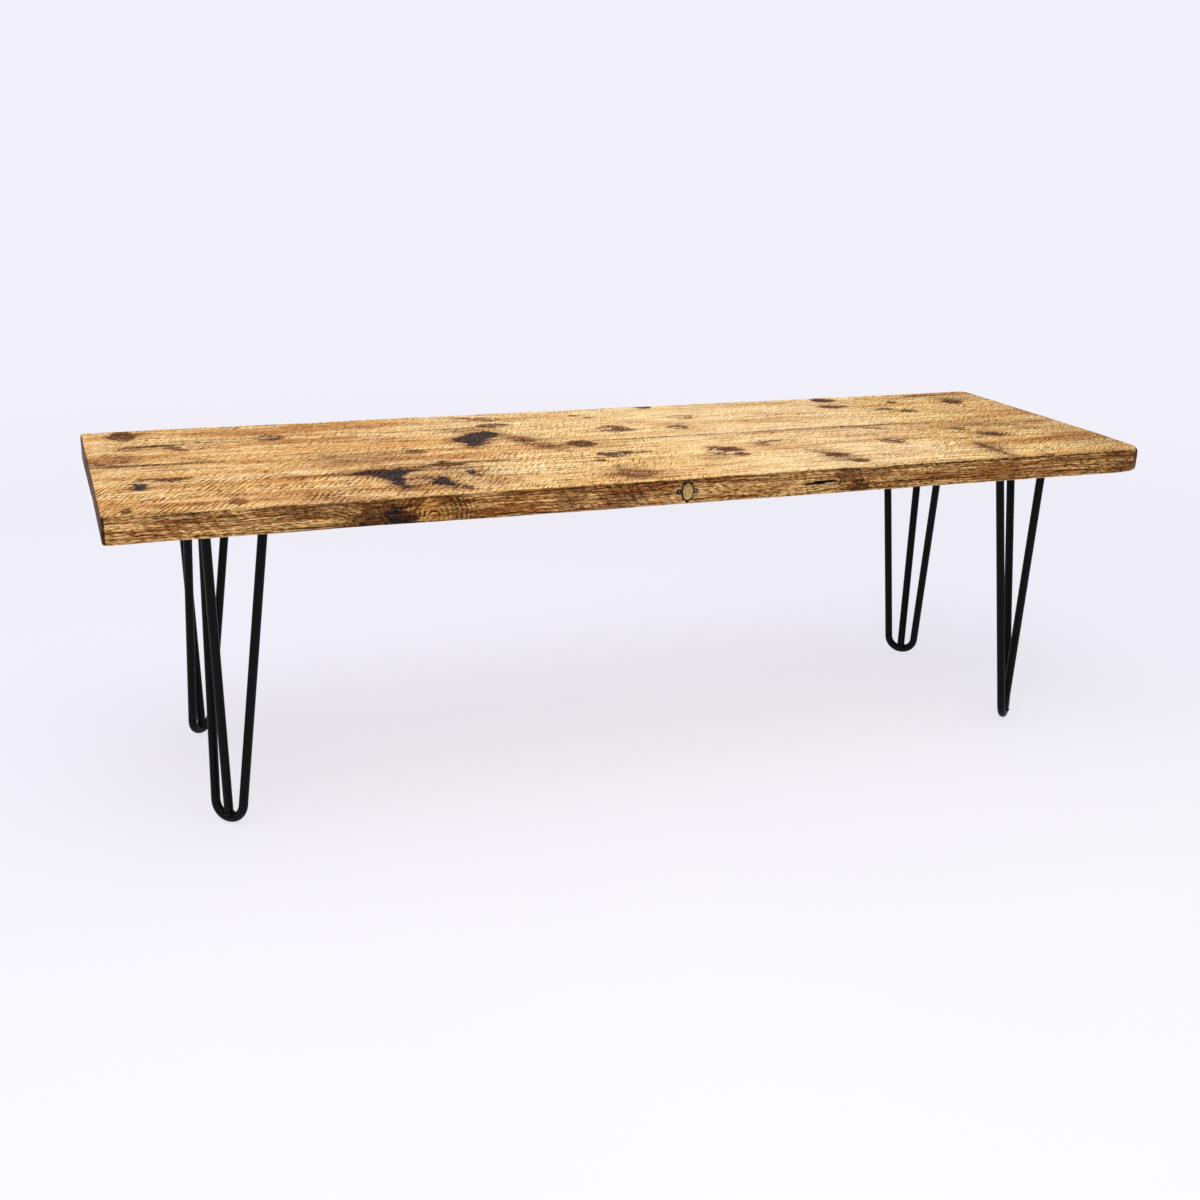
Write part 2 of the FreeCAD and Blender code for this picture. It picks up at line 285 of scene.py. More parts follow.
TOP_MARKS = tuple(Mark(*row) for row in (
    (KNOT, -676, 200, 46, 58), (KNOT, -650, 208, 44, 14, 18), (CRACK, -645, 126, 96, 12, 0),
    (KNOT, -652, 122, 60, 16, 0, 0.8), (CRACK, -560, 133, 90, 8, 0, 0.8),
    (CRACK, -446, -97, 76, 8, 0, 0.9), (CRACK, -660, 14, 110, 7, 0, 0.8),
    (HAZE, -663, 118, 48, 34, 0, 0.9), (KNOT, -618, 111, 26, 18), (KNOT, -604, 95, 24, 16),
    (KNOT, -592, 138, 23, 8), (HAZE, -700, 45, 56, 70, 0, 1.0), (KNOT, -714, 30, 20, 22, 0, 0.8),
    (RING, -480, 141, 45, 30), (KNOT, -317, 99, 22, 8, 0, 0.6), (KNOT, -303, 6, 35, 30, 30, 0.8),
    (HAZE, -386, -17, 125, 70, 0, 0.85), (KNOT, -280, -77, 54, 32), (CRACK, -250, -74, 110, 12),
    (HAZE, -333, -147, 34, 60, 0, 1.0), (CHAR, -260, -134, 13, 30), (HAZE, -285, -135, 116, 96, 0, 0.5),
    (KNOT, -288, -204, 20, 25), (CRACK, -265, -102, 36, 7), (RING, -660, -84, 50, 40),
    (CHAR, -677, -107, 20, 22), (KNOT, -632, -72, 54, 18, 12), (KNOT, -570, -207, 25, 30, 0, 0.7),
    (KNOT, -698, -217, 16, 20), (KNOT, -477, -101, 26, 10, 0, 0.5), (KNOT, -160, 198, 74, 13, -30),
    (RING, -148, 192, 40, 26), (RING, -150, 149, 55, 25), (CRACK, -205, 139, 110, 7),
    (HAZE, -200, 126, 70, 26, 0, 0.8), (HAZE, -132, 28, 124, 40, -66, 1.0),
    (CRACK, -128, 20, 116, 12, -64, 0.6), (HAZE, -98, -12, 70, 24, 4, 0.9), (KNOT, -64, -3, 48, 42),
    (RING, -43, -72, 48, 34), (KNOT, -24, -70, 30, 22), (KNOT, -5, -72, 40, 16, 0, 0.6),
    (CRACK, -63, -94, 54, 7, 0, 0.8), (KNOT, -75, -107, 14, 10), (HAZE, -58, -190, 76, 56, 0, 1.0),
    (KNOT, -57, -190, 62, 44, 0, 0.4), (HAZE, -62, -160, 16, 50, 0, 0.8),
    (HAZE, -240, -187, 54, 38, 0, 0.6), (KNOT, -7, 189, 24, 10), (KNOT, 10, 173, 22, 9),
    (RING, 17, 83, 54, 38), (KNOT, 36, 72, 26, 14), (RING, 150, 140, 44, 28),
    (KNOT, 160, 137, 18, 12, 0, 0.8), (RING, 122, 69, 48, 24), (KNOT, 106, 74, 14, 10, 0, 0.8),
    (KNOT, 107, -69, 18, 10), (KNOT, 123, 226, 26, 16), (RING, 116, -98, 58, 46),
    (KNOT, 127, -88, 46, 30), (KNOT, 132, -119, 32, 20), (CRACK, 206, -56, 62, 12, 8, 0.8),
    (HAZE, 190, -70, 30, 18), (HAZE, 87, -134, 44, 30, 0, 0.6), (KNOT, 440, 214, 44, 36),
    (KNOT, 430, 160, 50, 26, -6), (KNOT, 547, 171, 20, 18), (HAZE, 623, 216, 54, 20),
    (KNOT, 667, 180, 60, 14, -6, 0.8), (HAZE, 666, 180, 80, 34, 0, 0.8), (KNOT, 653, 154, 40, 36),
    (KNOT, 504, 124, 34, 14), (KNOT, 536, 101, 36, 18), (CRACK, 518, 110, 84, 12, -28, 0.8),
    (CRACK, 406, -9, 70, 12, -24, 0.9), (KNOT, 538, -44, 44, 18, -20), (KNOT, 566, -93, 46, 26, -24),
    (HAZE, 565, -93, 70, 50, 0, 0.8), (KNOT, 502, -178, 22, 80, 0, 0.55),
    (CRACK, 503, -180, 90, 11, -87, 0.8), (RING, 387, -96, 40, 26), (CRACK, 387, -97, 42, 10, -46, 0.9),
    (KNOT, 395, -103, 20, 13), (KNOT, 261, -159, 36, 24), (CRACK, 259, -168, 84, 15, -66),
    (KNOT, 274, -199, 28, 20), (HAZE, 262, -170, 54, 72, 0, 0.6), (HAZE, 505, -178, 44, 96, 0, 0.7),
    (HAZE, 690, -150, 120, 150, 0, 0.45), (HAZE, 605, -22, 260, 60, 0, 0.55),
    (HAZE, 300, 6, 330, 22, 0, 0.45),
))

FRONT_EDGE_MARKS = tuple(Mark(*row) for row in (
    (CHAR, -388, 417, 24, 20), (CHAR, -390, 408, 44, 9), (KNOT, -406, 418, 86, 30, 0, 0.8),
    (CHAR, -428, 407, 32, 6), (RING, -340, 412, 50, 52, 0, 1.0, False), (HAZE, -308, 424, 24, 50, 0, 0.3),
    (KNOT, 236, 431, 40, 18, 0, 0.75), (KNOT, 256, 412, 42, 24, 0, 0.9),
    (HAZE, 250, 419, 50, 30, 0, 0.35), (HAZE, 286, 430, 34, 14, 0, 0.45),
    (HAZE, -160, 420, 34, 40, 0, 0.7), (HAZE, -88, 418, 60, 30, 0, 0.7), (KNOT, -588, 430, 34, 7, 0, 0.5),
    (HAZE, -640, 433, 60, 14, 0, 0.8), (HAZE, -470, 432, 120, 24, 0, 0.7),
    (KNOT, 566, 436, 22, 9, -40, 0.7), (HAZE, 700, 424, 60, 40, 0, 0.7),
))

BACK_EDGE_MARKS = tuple(Mark(*row) for row in (
    (RING, -352, 424, 46, 34), (KNOT, 96, 418, 30, 22), (RING, 442, 428, 36, 30),
    (KNOT, -604, 414, 26, 14), (HAZE, 250, 420, 120, 30, 0, 0.8), (CHAR, -120, 426, 30, 16),
))


class Recipe:
    """One material being mixed: adds shader nodes and joins them."""

    def __init__(self, name: str) -> None:
        """Starts a material with its Principled shader.

        Args:
            name: the material's name.
        """
        self.material = bpy.data.materials.new(name)
        self.material.use_nodes = True
        self.tree = self.material.node_tree
        self.skin = self.tree.nodes["Principled BSDF"]
        source = self.tree.nodes.new("ShaderNodeTexCoord")
        self.place = source.outputs["Object"]
        self.facing = source.outputs["Normal"]

    def give(self, socket: Socket, value: Value) -> None:
        """Joins a socket to another, or sets its constant.

        Args:
            socket: the socket that takes the value.
            value: another node's socket, or a number, vector or colour.
        """
        if isinstance(value, bpy.types.NodeSocket):
            self.tree.links.new(value, socket)
        else:
            socket.default_value = value

    def math(self, operation: str, first: Value, second: Value = 0.0) -> Socket:
        """Adds one sum.

        Args:
            operation: the Math node's operation.
            first: the first number.
            second: the second number, where the operation takes one.

        Returns:
            The result.
        """
        node = self.tree.nodes.new("ShaderNodeMath")
        node.operation = operation
        self.give(node.inputs[0], first)
        self.give(node.inputs[1], second)
        return node.outputs[0]

    def times(self, first: Value, second: Value) -> Socket:
        """Multiplies two numbers."""
        return self.math("MULTIPLY", first, second)

    def plus(self, first: Value, second: Value) -> Socket:
        """Adds two numbers."""
        return self.math("ADD", first, second)

    def minus(self, first: Value, second: Value) -> Socket:
        """Takes the second number from the first."""
        return self.math("SUBTRACT", first, second)

    def most(self, first: Value, second: Value) -> Socket:
        """Gives the larger of two numbers."""
        return self.math("MAXIMUM", first, second)

    def wave(self, turns: Socket) -> Socket:
        """Gives a sine wave, once up and down per turn."""
        return self.math("SINE", self.times(turns, FULL_TURN))

    def split(self, vector: Socket) -> tuple[Socket, Socket, Socket]:
        """Takes a vector apart.

        Args:
            vector: the vector.

        Returns:
            Its three parts.
        """
        node = self.tree.nodes.new("ShaderNodeSeparateXYZ")
        self.give(node.inputs[0], vector)
        return node.outputs[0], node.outputs[1], node.outputs[2]

    def join(self, x: Value, y: Value, z: Value) -> Socket:
        """Makes a vector.

        Args:
            x: its first part.
            y: its second part.
            z: its third part.

        Returns:
            The vector.
        """
        node = self.tree.nodes.new("ShaderNodeCombineXYZ")
        for socket, value in zip(node.inputs, (x, y, z)):
            self.give(socket, value)
        return node.outputs[0]

    def stretch(self, vector: Socket, size: Triple, turn: Sequence[float] = (0.0, 0.0, 0.0),
                move: Sequence[float] = (0.0, 0.0, 0.0)) -> Socket:
        """Scales a pattern's cell to a size in metres and turns it.

        Args:
            vector: the coordinates to read.
            size: the cell's size along each of its own axes, in metres.
            turn: its turn about each axis, in degrees.
            move: where its origin lies, in metres.

        Returns:
            The coordinates in cells.
        """
        node = self.tree.nodes.new("ShaderNodeMapping")
        node.vector_type = "TEXTURE"
        self.give(node.inputs["Vector"], vector)
        node.inputs["Location"].default_value = move
        node.inputs["Rotation"].default_value = [math.radians(a) for a in turn]
        node.inputs["Scale"].default_value = size
        return node.outputs[0]

    def noise(self, vector: Socket, detail: float = 2.0, rough: float = 0.5, warp: float = 0.0) -> Socket:
        """Adds a noise pattern.

        Args:
            vector: the coordinates in cells.
            detail: how many finer layers are added.
            rough: how strong each finer layer is.
            warp: how far the pattern is twisted.

        Returns:
            Its height, about 0.5 in the mean.
        """
        node = self.tree.nodes.new("ShaderNodeTexNoise")
        self.give(node.inputs["Vector"], vector)
        for name, number in (("Scale", 1.0), ("Detail", detail), ("Roughness", rough),
                             ("Distortion", warp)):
            node.inputs[name].default_value = number
        return node.outputs[0]

    def uneven(self, vector: Socket, detail: float = 2.0, rough: float = 0.5) -> Socket:
        """Adds a noise pattern about 0, in units of its own spread.

        Args:
            vector: the coordinates in cells.
            detail: how many finer layers are added.
            rough: how strong each finer layer is.

        Returns:
            A value that lies between -2 and 2 nearly everywhere.
        """
        layers = [rough ** i for i in range(int(detail) + 1)]
        spread = NOISE_SPREAD * math.sqrt(sum(w * w for w in layers)) / sum(layers)
        return self.math("DIVIDE", self.minus(self.noise(vector, detail, rough), 0.5), spread)

    def speck(self, value: Socket) -> Socket:
        """Looks up a fixed chance value.

        Args:
            value: a whole number.

        Returns:
            Its chance value from 0 to 1.
        """
        node = self.tree.nodes.new("ShaderNodeTexWhiteNoise")
        node.noise_dimensions = "1D"
        self.give(node.inputs["W"], value)
        return node.outputs[0]

    def band(self, value: Socket, low: float, high: float, bottom: float = 0.0, top: float = 1.0) -> Socket:
        """Goes smoothly from one number to another.

        Args:
            value: what is read.
            low: where the change starts.
            high: where it ends.
            bottom: the number at low.
            top: the number at high.

        Returns:
            The number.
        """
        node = self.tree.nodes.new("ShaderNodeMapRange")
        node.interpolation_type = "SMOOTHSTEP"
        self.give(node.inputs["Value"], value)
        for name, number in (("From Min", low), ("From Max", high), ("To Min", bottom), ("To Max", top)):
            node.inputs[name].default_value = number
        return node.outputs[0]

    def mix(self, share: Value, first: Value, second: Value, way: str = "MIX") -> Socket:
        """Mixes two colours.

        Args:
            share: how much of the second colour goes in, from 0 to 1.
            first: the first colour.
            second: the second colour.
            way: the Mix node's blend type.

        Returns:
            The mixed colour.
        """
        node = self.tree.nodes.new("ShaderNodeMix")
        node.data_type = "RGBA"
        node.blend_type = way
        node.clamp_factor = True
        for socket, value in zip((node.inputs[0], node.inputs[6], node.inputs[7]), (share, first, second)):
            self.give(socket, value)
        return node.outputs[2]

    def shade(self, share: Value, colour: Value, by: Value) -> Socket:
        """Multiplies a colour by another one, by a share."""
        return self.mix(share, colour, by, "MULTIPLY")

    def choose(self, share: Value, first: Value, second: Value) -> Socket:
        """Goes from one number to another.

        Args:
            share: how much of the second number goes in, from 0 to 1.
            first: the first number.
            second: the second number.

        Returns:
            The number between them.
        """
        node = self.tree.nodes.new("ShaderNodeMix")
        node.data_type = "FLOAT"
        for socket, value in zip((node.inputs[0], node.inputs[2], node.inputs[3]), (share, first, second)):
            self.give(socket, value)
        return node.outputs[0]

    def carried(self, name: str) -> Socket:
        """Reads a number that the mesh carries at its points.

        Args:
            name: the number's name.

        Returns:
            The number.
        """
        node = self.tree.nodes.new("ShaderNodeAttribute")
        node.attribute_name = name
        return node.outputs["Fac"]

    def bump(self, height: Socket, strength: float, depth: float,
             under: Union[Socket, None] = None) -> Socket:
        """Turns a height into a bumped normal.

        Args:
            height: the height.
            strength: how strongly it shows, from 0 to 1.
            depth: the depth of a height of 1, in metres.
            under: a normal that the bump lies over, if there is one.

        Returns:
            The bumped normal.
        """
        node = self.tree.nodes.new("ShaderNodeBump")
        node.inputs["Strength"].default_value = strength
        node.inputs["Distance"].default_value = depth
        self.give(node.inputs["Height"], height)
        if under is not None:
            self.give(node.inputs["Normal"], under)
        return node.outputs[0]

    def finish(self, **sockets: Value) -> bpy.types.Material:
        """Sets the shader's sockets.

        Args:
            **sockets: the sockets' values, by name with underscores for blanks.

        Returns:
            The finished material.
        """
        for name, value in sockets.items():
            self.give(self.skin.inputs[name.replace("_", " ")], value)
        return self.material


@dataclass(frozen=True)
class WaxedPine:
    """Rough-sawn softwood, stained honey brown and waxed, with the stain deep in the saw marks.

    The tones come first, then the shades that multiply them, then the patterns' cells and the places
    between which a tone changes, in metres.
    """

    pale: Tone = tone(255, 224, 156)
    cream: Tone = tone(255, 220, 160)
    honey: Tone = tone(243, 190, 108)
    tan: Tone = tone(206, 145, 74)
    edge: Tone = tone(255, 208, 134)
    edge_tan: Tone = tone(190, 130, 70)
    stain: Tone = tone(144, 86, 34)
    red_stain: Tone = tone(118, 62, 27)
    end_grain: Tone = tone(150, 100, 58)
    end_dark: Tone = tone(84, 52, 32)
    knot_wood: Tone = tone(152, 92, 44)
    ring_wood: Tone = tone(228, 168, 90)
    knot: Tone = tone(84, 46, 22)
    knot_core: Tone = tone(44, 25, 17)
    char: Tone = tone(30, 27, 28)
    ash: Tone = tone(82, 74, 72)
    # The seam tone colours the dark wax and also the painted shadow lines by the arrises.
    seam: Tone = tone(60, 35, 18)
    # The split tone is painted shade inside the open split.
    split: Tone = tone(16, 10, 7)
    line_shade: Tone = (0.55, 0.39, 0.22, 1.0)
    edge_line: Tone = (0.17, 0.11, 0.07, 1.0)
    edge_shade: Tone = (0.62, 0.58, 0.54, 1.0)
    stroke_shade: Tone = (0.42, 0.28, 0.14, 1.0)
    fleck_shade: Tone = (0.35, 0.23, 0.10, 1.0)
    fleck_light: Tone = (1.36, 1.50, 2.05, 1.0)
    dash_light: Tone = (1.40, 1.38, 1.56, 1.0)
    left_shade: Tone = (0.90, 0.86, 0.90, 1.0)
    fibre_cell: Triple = (0.045, 0.0016, 0.0016)
    dash_cell: Triple = (0.046, 0.0022, 0.0015)
    nick_cell: Triple = (0.0065, 0.0030, 0.0013)
    lump_cell: Triple = (0.030, 0.0034, 1.0)
    comb_cell: Triple = (0.034, 0.0024, 1.0)
    grit_cell: Triple = (0.0085, 0.0034, 1.0)
    bite_cell: Triple = (0.070, 0.022, 1.0)
    thread_cell: Triple = (0.11, 0.0048, 0.0048)
    streak_cell: Triple = (0.28, 0.012, 0.012)
    broad_cell: Triple = (0.30, 0.055, 0.055)
    long_sway_cell: Triple = (0.5, 0.12, 0.12)
    short_sway_cell: Triple = (0.07, 0.014, 0.014)
    ring_patch_cell: Triple = (0.06, 0.008, 0.008)
    ragged_cell: Triple = (0.026, 0.012, 0.012)
    wisp_cell: Triple = (0.060, 0.006, 0.006)
    crumb_cell: Triple = (0.008, 0.0030, 1.0)
    blot_cell: Triple = (0.020, 0.016, 0.016)
    blot_move: Triple = (0.31, 0.17, 0.0)
    speckle_cell: Triple = (0.0042, 0.0020, 1.0)
    slant_fade: Pair = (-0.10, 0.30)
    rear_fade: Pair = (-0.04, 0.12)
    middle_start: Pair = (-0.36, -0.10)
    middle_stop: Pair = (0.36, 0.56)
    paler_start: Pair = (0.0, 0.14)
    paler_stop: Pair = (0.36, 0.50)
    left_fade: Pair = (-0.12, -0.36)
    edge_fade: Pair = (-0.10, 0.16)
    edge_shares: Pair = (0.42, 0.58)
    speckle_slant: float = 66.0
    ring_width: float = 0.0036
    long_sway: float = 0.0042
    short_sway: float = 0.0006
    left_slant: float = 62.0
    right_slant: float = 47.0
    relief: float = 0.90
    relief_depth: float = 0.0009
    gloss: float = 0.04

    def dress(self, name: str, pith_y: float, pith_z: float) -> bpy.types.Material:
        """Mixes the wood of one board.

        Args:
            name: the material's name.
            pith_y: where the log's heart lay, across the bench, in metres.
            pith_z: where it lay in height, in metres.

        Returns:
            The material.
        """
        r = Recipe(name)
        x, y, z = r.split(r.place)
        nx, ny, _ = r.split(r.facing)
        side = r.band(r.math("ABSOLUTE", ny), 0.62, 0.80)
        end = r.band(r.math("ABSOLUTE", nx), 0.28, 0.55)
        flat = r.minus(1.0, r.most(side, end))
        along = r.choose(end, x, z)
        across = r.choose(side, y, r.times(z, -1.0))
        face = r.join(along, across, r.plus(side, end))

        # Growth rings about the log's heart, pushed aside by the knots
        late = self.growth_rings(r, y, z, pith_y, pith_z)
        fibre = r.uneven(r.stretch(r.place, self.fibre_cell), 3.0, 0.6)
        dash = r.uneven(r.stretch(r.place, self.dash_cell), 3.0, 0.6)
        nick = r.uneven(r.stretch(r.place, self.nick_cell), 3.0, 0.65)
        dash = r.choose(side, dash, r.plus(r.times(dash, 0.40), nick))

        # Saw strokes and the flecks of torn and raised fibre between them, partly painted light and shade
        lump = self.slanted(r, face, x, self.lump_cell, 2.0, 0.55)
        bite = r.uneven(r.stretch(face, self.bite_cell), 3.0, 0.6)
        rear = r.band(y, *self.rear_fade, 1.0, 0.60)
        stroke = r.times(self.saw_strokes(r, lump, bite), r.times(flat, rear))
        comb = self.slanted(r, face, x, self.comb_cell, 2.0, 0.6)
        grit = self.slanted(r, face, x, self.grit_cell, 3.0, 0.65)
        fleck = r.plus(r.times(comb, 0.75), r.times(grit, 0.75))
        thread = r.uneven(r.stretch(r.place, self.thread_cell), 3.0, 0.62)

        # Ground colour in long streaks, darker on the edges and ends
        streak = r.uneven(r.stretch(r.place, self.streak_cell), 3.0, 0.62)
        broad = r.uneven(r.stretch(r.place, self.broad_cell), 2.0)
        colour = r.mix(r.band(streak, -1.2, 1.2), self.pale, self.honey)
        middle = r.times(r.band(x, *self.middle_start), r.band(x, *self.middle_stop, 1.0, 0.0))
        # The top is paler in the middle of the bench
        paler_middle = r.times(r.band(x, *self.paler_start, 0.0, 0.45), r.band(x, *self.paler_stop, 1.0, 0.0))
        paler_middle = r.plus(paler_middle, r.times(middle, r.band(streak, 1.2, -1.0, 0.25, 0.85)))
        colour = r.mix(paler_middle, colour, self.cream)
        tanned = r.times(r.band(broad, 0.0, 1.8, 0.0, 0.85), r.choose(middle, 1.0, 0.55))
        colour = r.mix(tanned, colour, self.tan)
        colour = r.shade(r.band(x, *self.left_fade), colour, self.left_shade)
        edge_streak = r.band(r.plus(streak, r.times(thread, 1.4)), -2.2, 2.2)
        edge_tone = r.mix(edge_streak, self.edge, self.edge_tan)
        edge_tone = r.shade(r.band(x, *self.edge_fade, *self.edge_shares), edge_tone, self.edge_shade)
        colour = r.mix(side, colour, edge_tone)
        blotchy = r.band(r.plus(broad, r.times(streak, 0.6)), -1.6, 0.8)
        colour = r.mix(end, colour, r.mix(blotchy, self.end_grain, self.end_dark))
        line_tone = r.mix(r.most(side, end), self.line_shade, self.edge_line)
        line_share = r.choose(end, r.choose(side, 0.45, 1.0), 0.75)
        colour = r.shade(r.times(late, line_share), colour, line_tone)
        wisp = r.times(r.band(thread, 0.7, 2.0), r.choose(side, 0.85, 0.7))
        colour = r.shade(wisp, colour, self.stroke_shade)

        # Stains, knots and dark patches
        colour, dark = self.marks(r, colour, face, flat)

        # Texture over everything: strokes, flecks, fibre
        calm = r.band(paler_middle, 0.45, 1.2, 1.0, 0.45)
        colour = r.shade(r.times(stroke, calm), colour, self.stroke_shade)
        torn = r.band(bite, -1.4, 0.8, 0.45, 1.0)
        # Dark flecks: stain in the torn fibre and painted shade between the raised fibres
        low_fleck = r.times(r.band(fleck, 0.0, -2.0), r.times(torn, r.choose(flat, 0.30, 1.0)))
        colour = r.shade(r.times(low_fleck, calm), colour, self.fleck_shade)
        # Pale flecks: paler fibre and a painted highlight on the raised fibres
        high_fleck = r.times(r.band(fleck, 0.2, 1.8), r.choose(flat, 0.20, r.choose(dark, 0.85, 0.45)))
        colour = r.shade(high_fleck, colour, self.fleck_light)
        low_dash = r.times(r.band(dash, 0.3, -1.4), r.choose(side, 0.42, 1.0))
        colour = r.shade(low_dash, colour, self.fleck_shade)
        high_dash = r.times(r.band(dash, 0.0, 1.6), r.choose(side, 0.25, r.choose(dark, 0.9, 0.25)))
        colour = r.shade(high_dash, colour, self.dash_light)
        # Saw bands on the long edges: grooves darkened by stain and painted shade, and a painted highlight
        # on the ridges between them
        edge_swing = r.wave(r.carried("edge_saw"))
        edge_bite = r.times(r.carried("edge_bite"), side)
        edge_band = r.plus(edge_swing, r.times(lump, 0.16))
        edge_cut = r.times(r.band(edge_band, 0.62, 1.05, 0.0, 0.80), edge_bite)
        colour = r.shade(edge_cut, colour, self.edge_line)
        # Painted highlight on the ridges between the saw bands
        colour = r.shade(r.times(r.band(edge_band, 0.0, -0.9), edge_bite), colour, self.dash_light)

        # Dark wax in the seam, painted shadow lines by the arrises, and a worn arris with a painted
        # highlight
        # The seam attribute carries the seam's dark wax, the painted shadow lines by the arrises, the dark
        # line at the right end and the dark joint on the ends.
        wax_and_painted_light = r.times(r.carried("seam"), r.band(lump, -1.5, 1.0, 0.4, 1.0))
        colour = r.mix(wax_and_painted_light, colour, self.seam)
        # The worn arris is painted pale: wear together with a painted highlight where the arris turns from
        # the top to the edge
        rubbed_highlight = r.times(r.carried("arris"), r.band(dash, -1.4, 1.0, 0.10, 0.75))
        rubbed_highlight = r.times(rubbed_highlight, r.choose(dark, 1.0, 0.15))
        colour = r.mix(rubbed_highlight, colour, self.pale)
        # Painted shade inside the open split
        colour = r.mix(r.carried("split"), colour, self.split)

        # Relief and sheen
        height = r.plus(r.times(stroke, -1.0), r.times(late, 0.30))
        height = r.plus(height, r.times(fleck, 0.22))
        height = r.plus(height, r.times(dash, r.choose(side, 0.08, 0.22)))
        height = r.plus(height, r.times(fibre, 0.04))
        normal = r.bump(height, self.relief, self.relief_depth)
        rough = r.band(r.minus(r.times(stroke, 1.5), fleck), -1.6, 2.0, 0.36, 0.68)
        return r.finish(Base_Color=colour, Roughness=rough, Normal=normal, Specular_IOR_Level=self.gloss)

    def growth_rings(self, r: Recipe, y: Socket, z: Socket, pith_y: float, pith_z: float) -> Socket:
        """Adds the growth rings.

        Args:
            r: the material being mixed.
            y: the place across the bench.
            z: the height.
            pith_y: where the log's heart lay, across the bench, in metres.
            pith_z: where it lay in height, in metres.

        Returns:
            How dark the late wood is, from 0 to 1.
        """
        dy = r.minus(y, pith_y)
        dz = r.minus(z, pith_z)
        radius = r.math("SQRT", r.plus(r.times(dy, dy), r.times(dz, dz)))
        long_sway = r.uneven(r.stretch(r.place, self.long_sway_cell), 1.0)
        short_sway = r.uneven(r.stretch(r.place, self.short_sway_cell))
        sway = r.plus(r.times(long_sway, self.long_sway), r.times(short_sway, self.short_sway))
        bend = r.times(r.carried("bend"), MM)
        rings = r.math("DIVIDE", r.plus(r.plus(radius, sway), bend), self.ring_width)
        tooth = r.math("FRACT", rings)
        late = r.times(r.band(tooth, 0.42, 0.74), r.band(tooth, 0.84, 1.0, 1.0, 0.0))
        chance = r.speck(r.math("FLOOR", rings))
        patchy = r.uneven(r.stretch(r.place, self.ring_patch_cell))
        depth = r.times(r.band(chance, 0.0, 1.0, 0.45, 1.0), r.band(patchy, -1.8, 0.3, 0.40, 1.0))
        return r.times(late, depth)

    def slanted(self, r: Recipe, face: Socket, x: Socket, cell: Triple, detail: float,
                rough: float) -> Socket:
        """Adds an uneven pattern drawn out along the saw's strokes, whose slant changes along the bench.

        Args:
            r: the material being mixed.
            face: coordinates on the face.
            x: the place along the bench.
            cell: the cell's length along a stroke and its width, in metres.
            detail: how many finer layers are added.
            rough: how strong each finer layer is.

        Returns:
            An uneven value about 0, in units of its own spread.
        """
        steep = r.uneven(r.stretch(face, cell, (0.0, 0.0, self.left_slant)), detail, rough)
        shallow = r.uneven(r.stretch(face, cell, (0.0, 0.0, self.right_slant)), detail, rough)
        return r.choose(r.band(x, *self.slant_fade), steep, shallow)

    def saw_strokes(self, r: Recipe, lump: Socket, bite: Socket) -> Socket:
        """Adds the saw strokes that the mesh carries as two runs of waves.

        Args:
            r: the material being mixed.
            lump: an uneven value about 0 that breaks the strokes.
            bite: an uneven value about 0 that says where the saw bit.

        Returns:
            The strokes' depth from 0 to 1.
        """
        close = r.wave(r.carried("saw"))
        close = r.band(r.plus(r.times(close, 0.5), r.times(lump, 0.45)), 0.25, 1.10)
        close = r.times(close, r.band(bite, -0.8, 1.6, 0.05, 0.60))
        coarse = r.wave(r.carried("rasp"))
        coarse = r.band(r.plus(coarse, r.times(lump, 0.40)), 0.30, 1.00)
        coarse = r.times(coarse, r.band(bite, -1.2, 1.0, 0.10, 1.0))
        return r.choose(r.carried("rake"), close, coarse)

    def marks(self, r: Recipe, colour: Socket, face: Socket, flat: Socket) -> tuple[Socket, Socket]:
        """Lays the stains, ringed knots, cracks, knots and dark patches over the ground colour.

        Args:
            r: the material being mixed.
            colour: the ground colour.
            face: coordinates on the face.
            flat: 1 on the top and underside and 0 on the long edges and ends.

        Returns:
            The colour with the marks, and how dark they make it.
        """
        ragged = r.uneven(r.stretch(r.place, self.ragged_cell), 3.0, 0.6)
        wisps = r.uneven(r.stretch(r.place, self.wisp_cell), 2.0, 0.6)
        crumbs = r.uneven(r.stretch(face, self.crumb_cell, (0.0, 0.0, self.left_slant)), 3.0, 0.65)
        blot = r.uneven(r.stretch(r.place, self.blot_cell, move=self.blot_move), 1.0, 0.5)
        border = r.plus(r.times(ragged, 1.8), r.times(crumbs, 1.4))
        border = r.plus(border, r.times(wisps, 1.8))

        # Soft stains
        mottle = r.band(r.plus(r.plus(ragged, wisps), crumbs), -2.6, 1.4, 0.40, 1.0)
        haze = r.times(r.carried("haze"), mottle)
        stain = r.mix(r.band(ragged, -0.6, 1.2), self.stain, self.red_stain)
        stain = r.mix(flat, self.knot, stain)
        colour = r.mix(r.times(haze, 0.90), colour, stain)

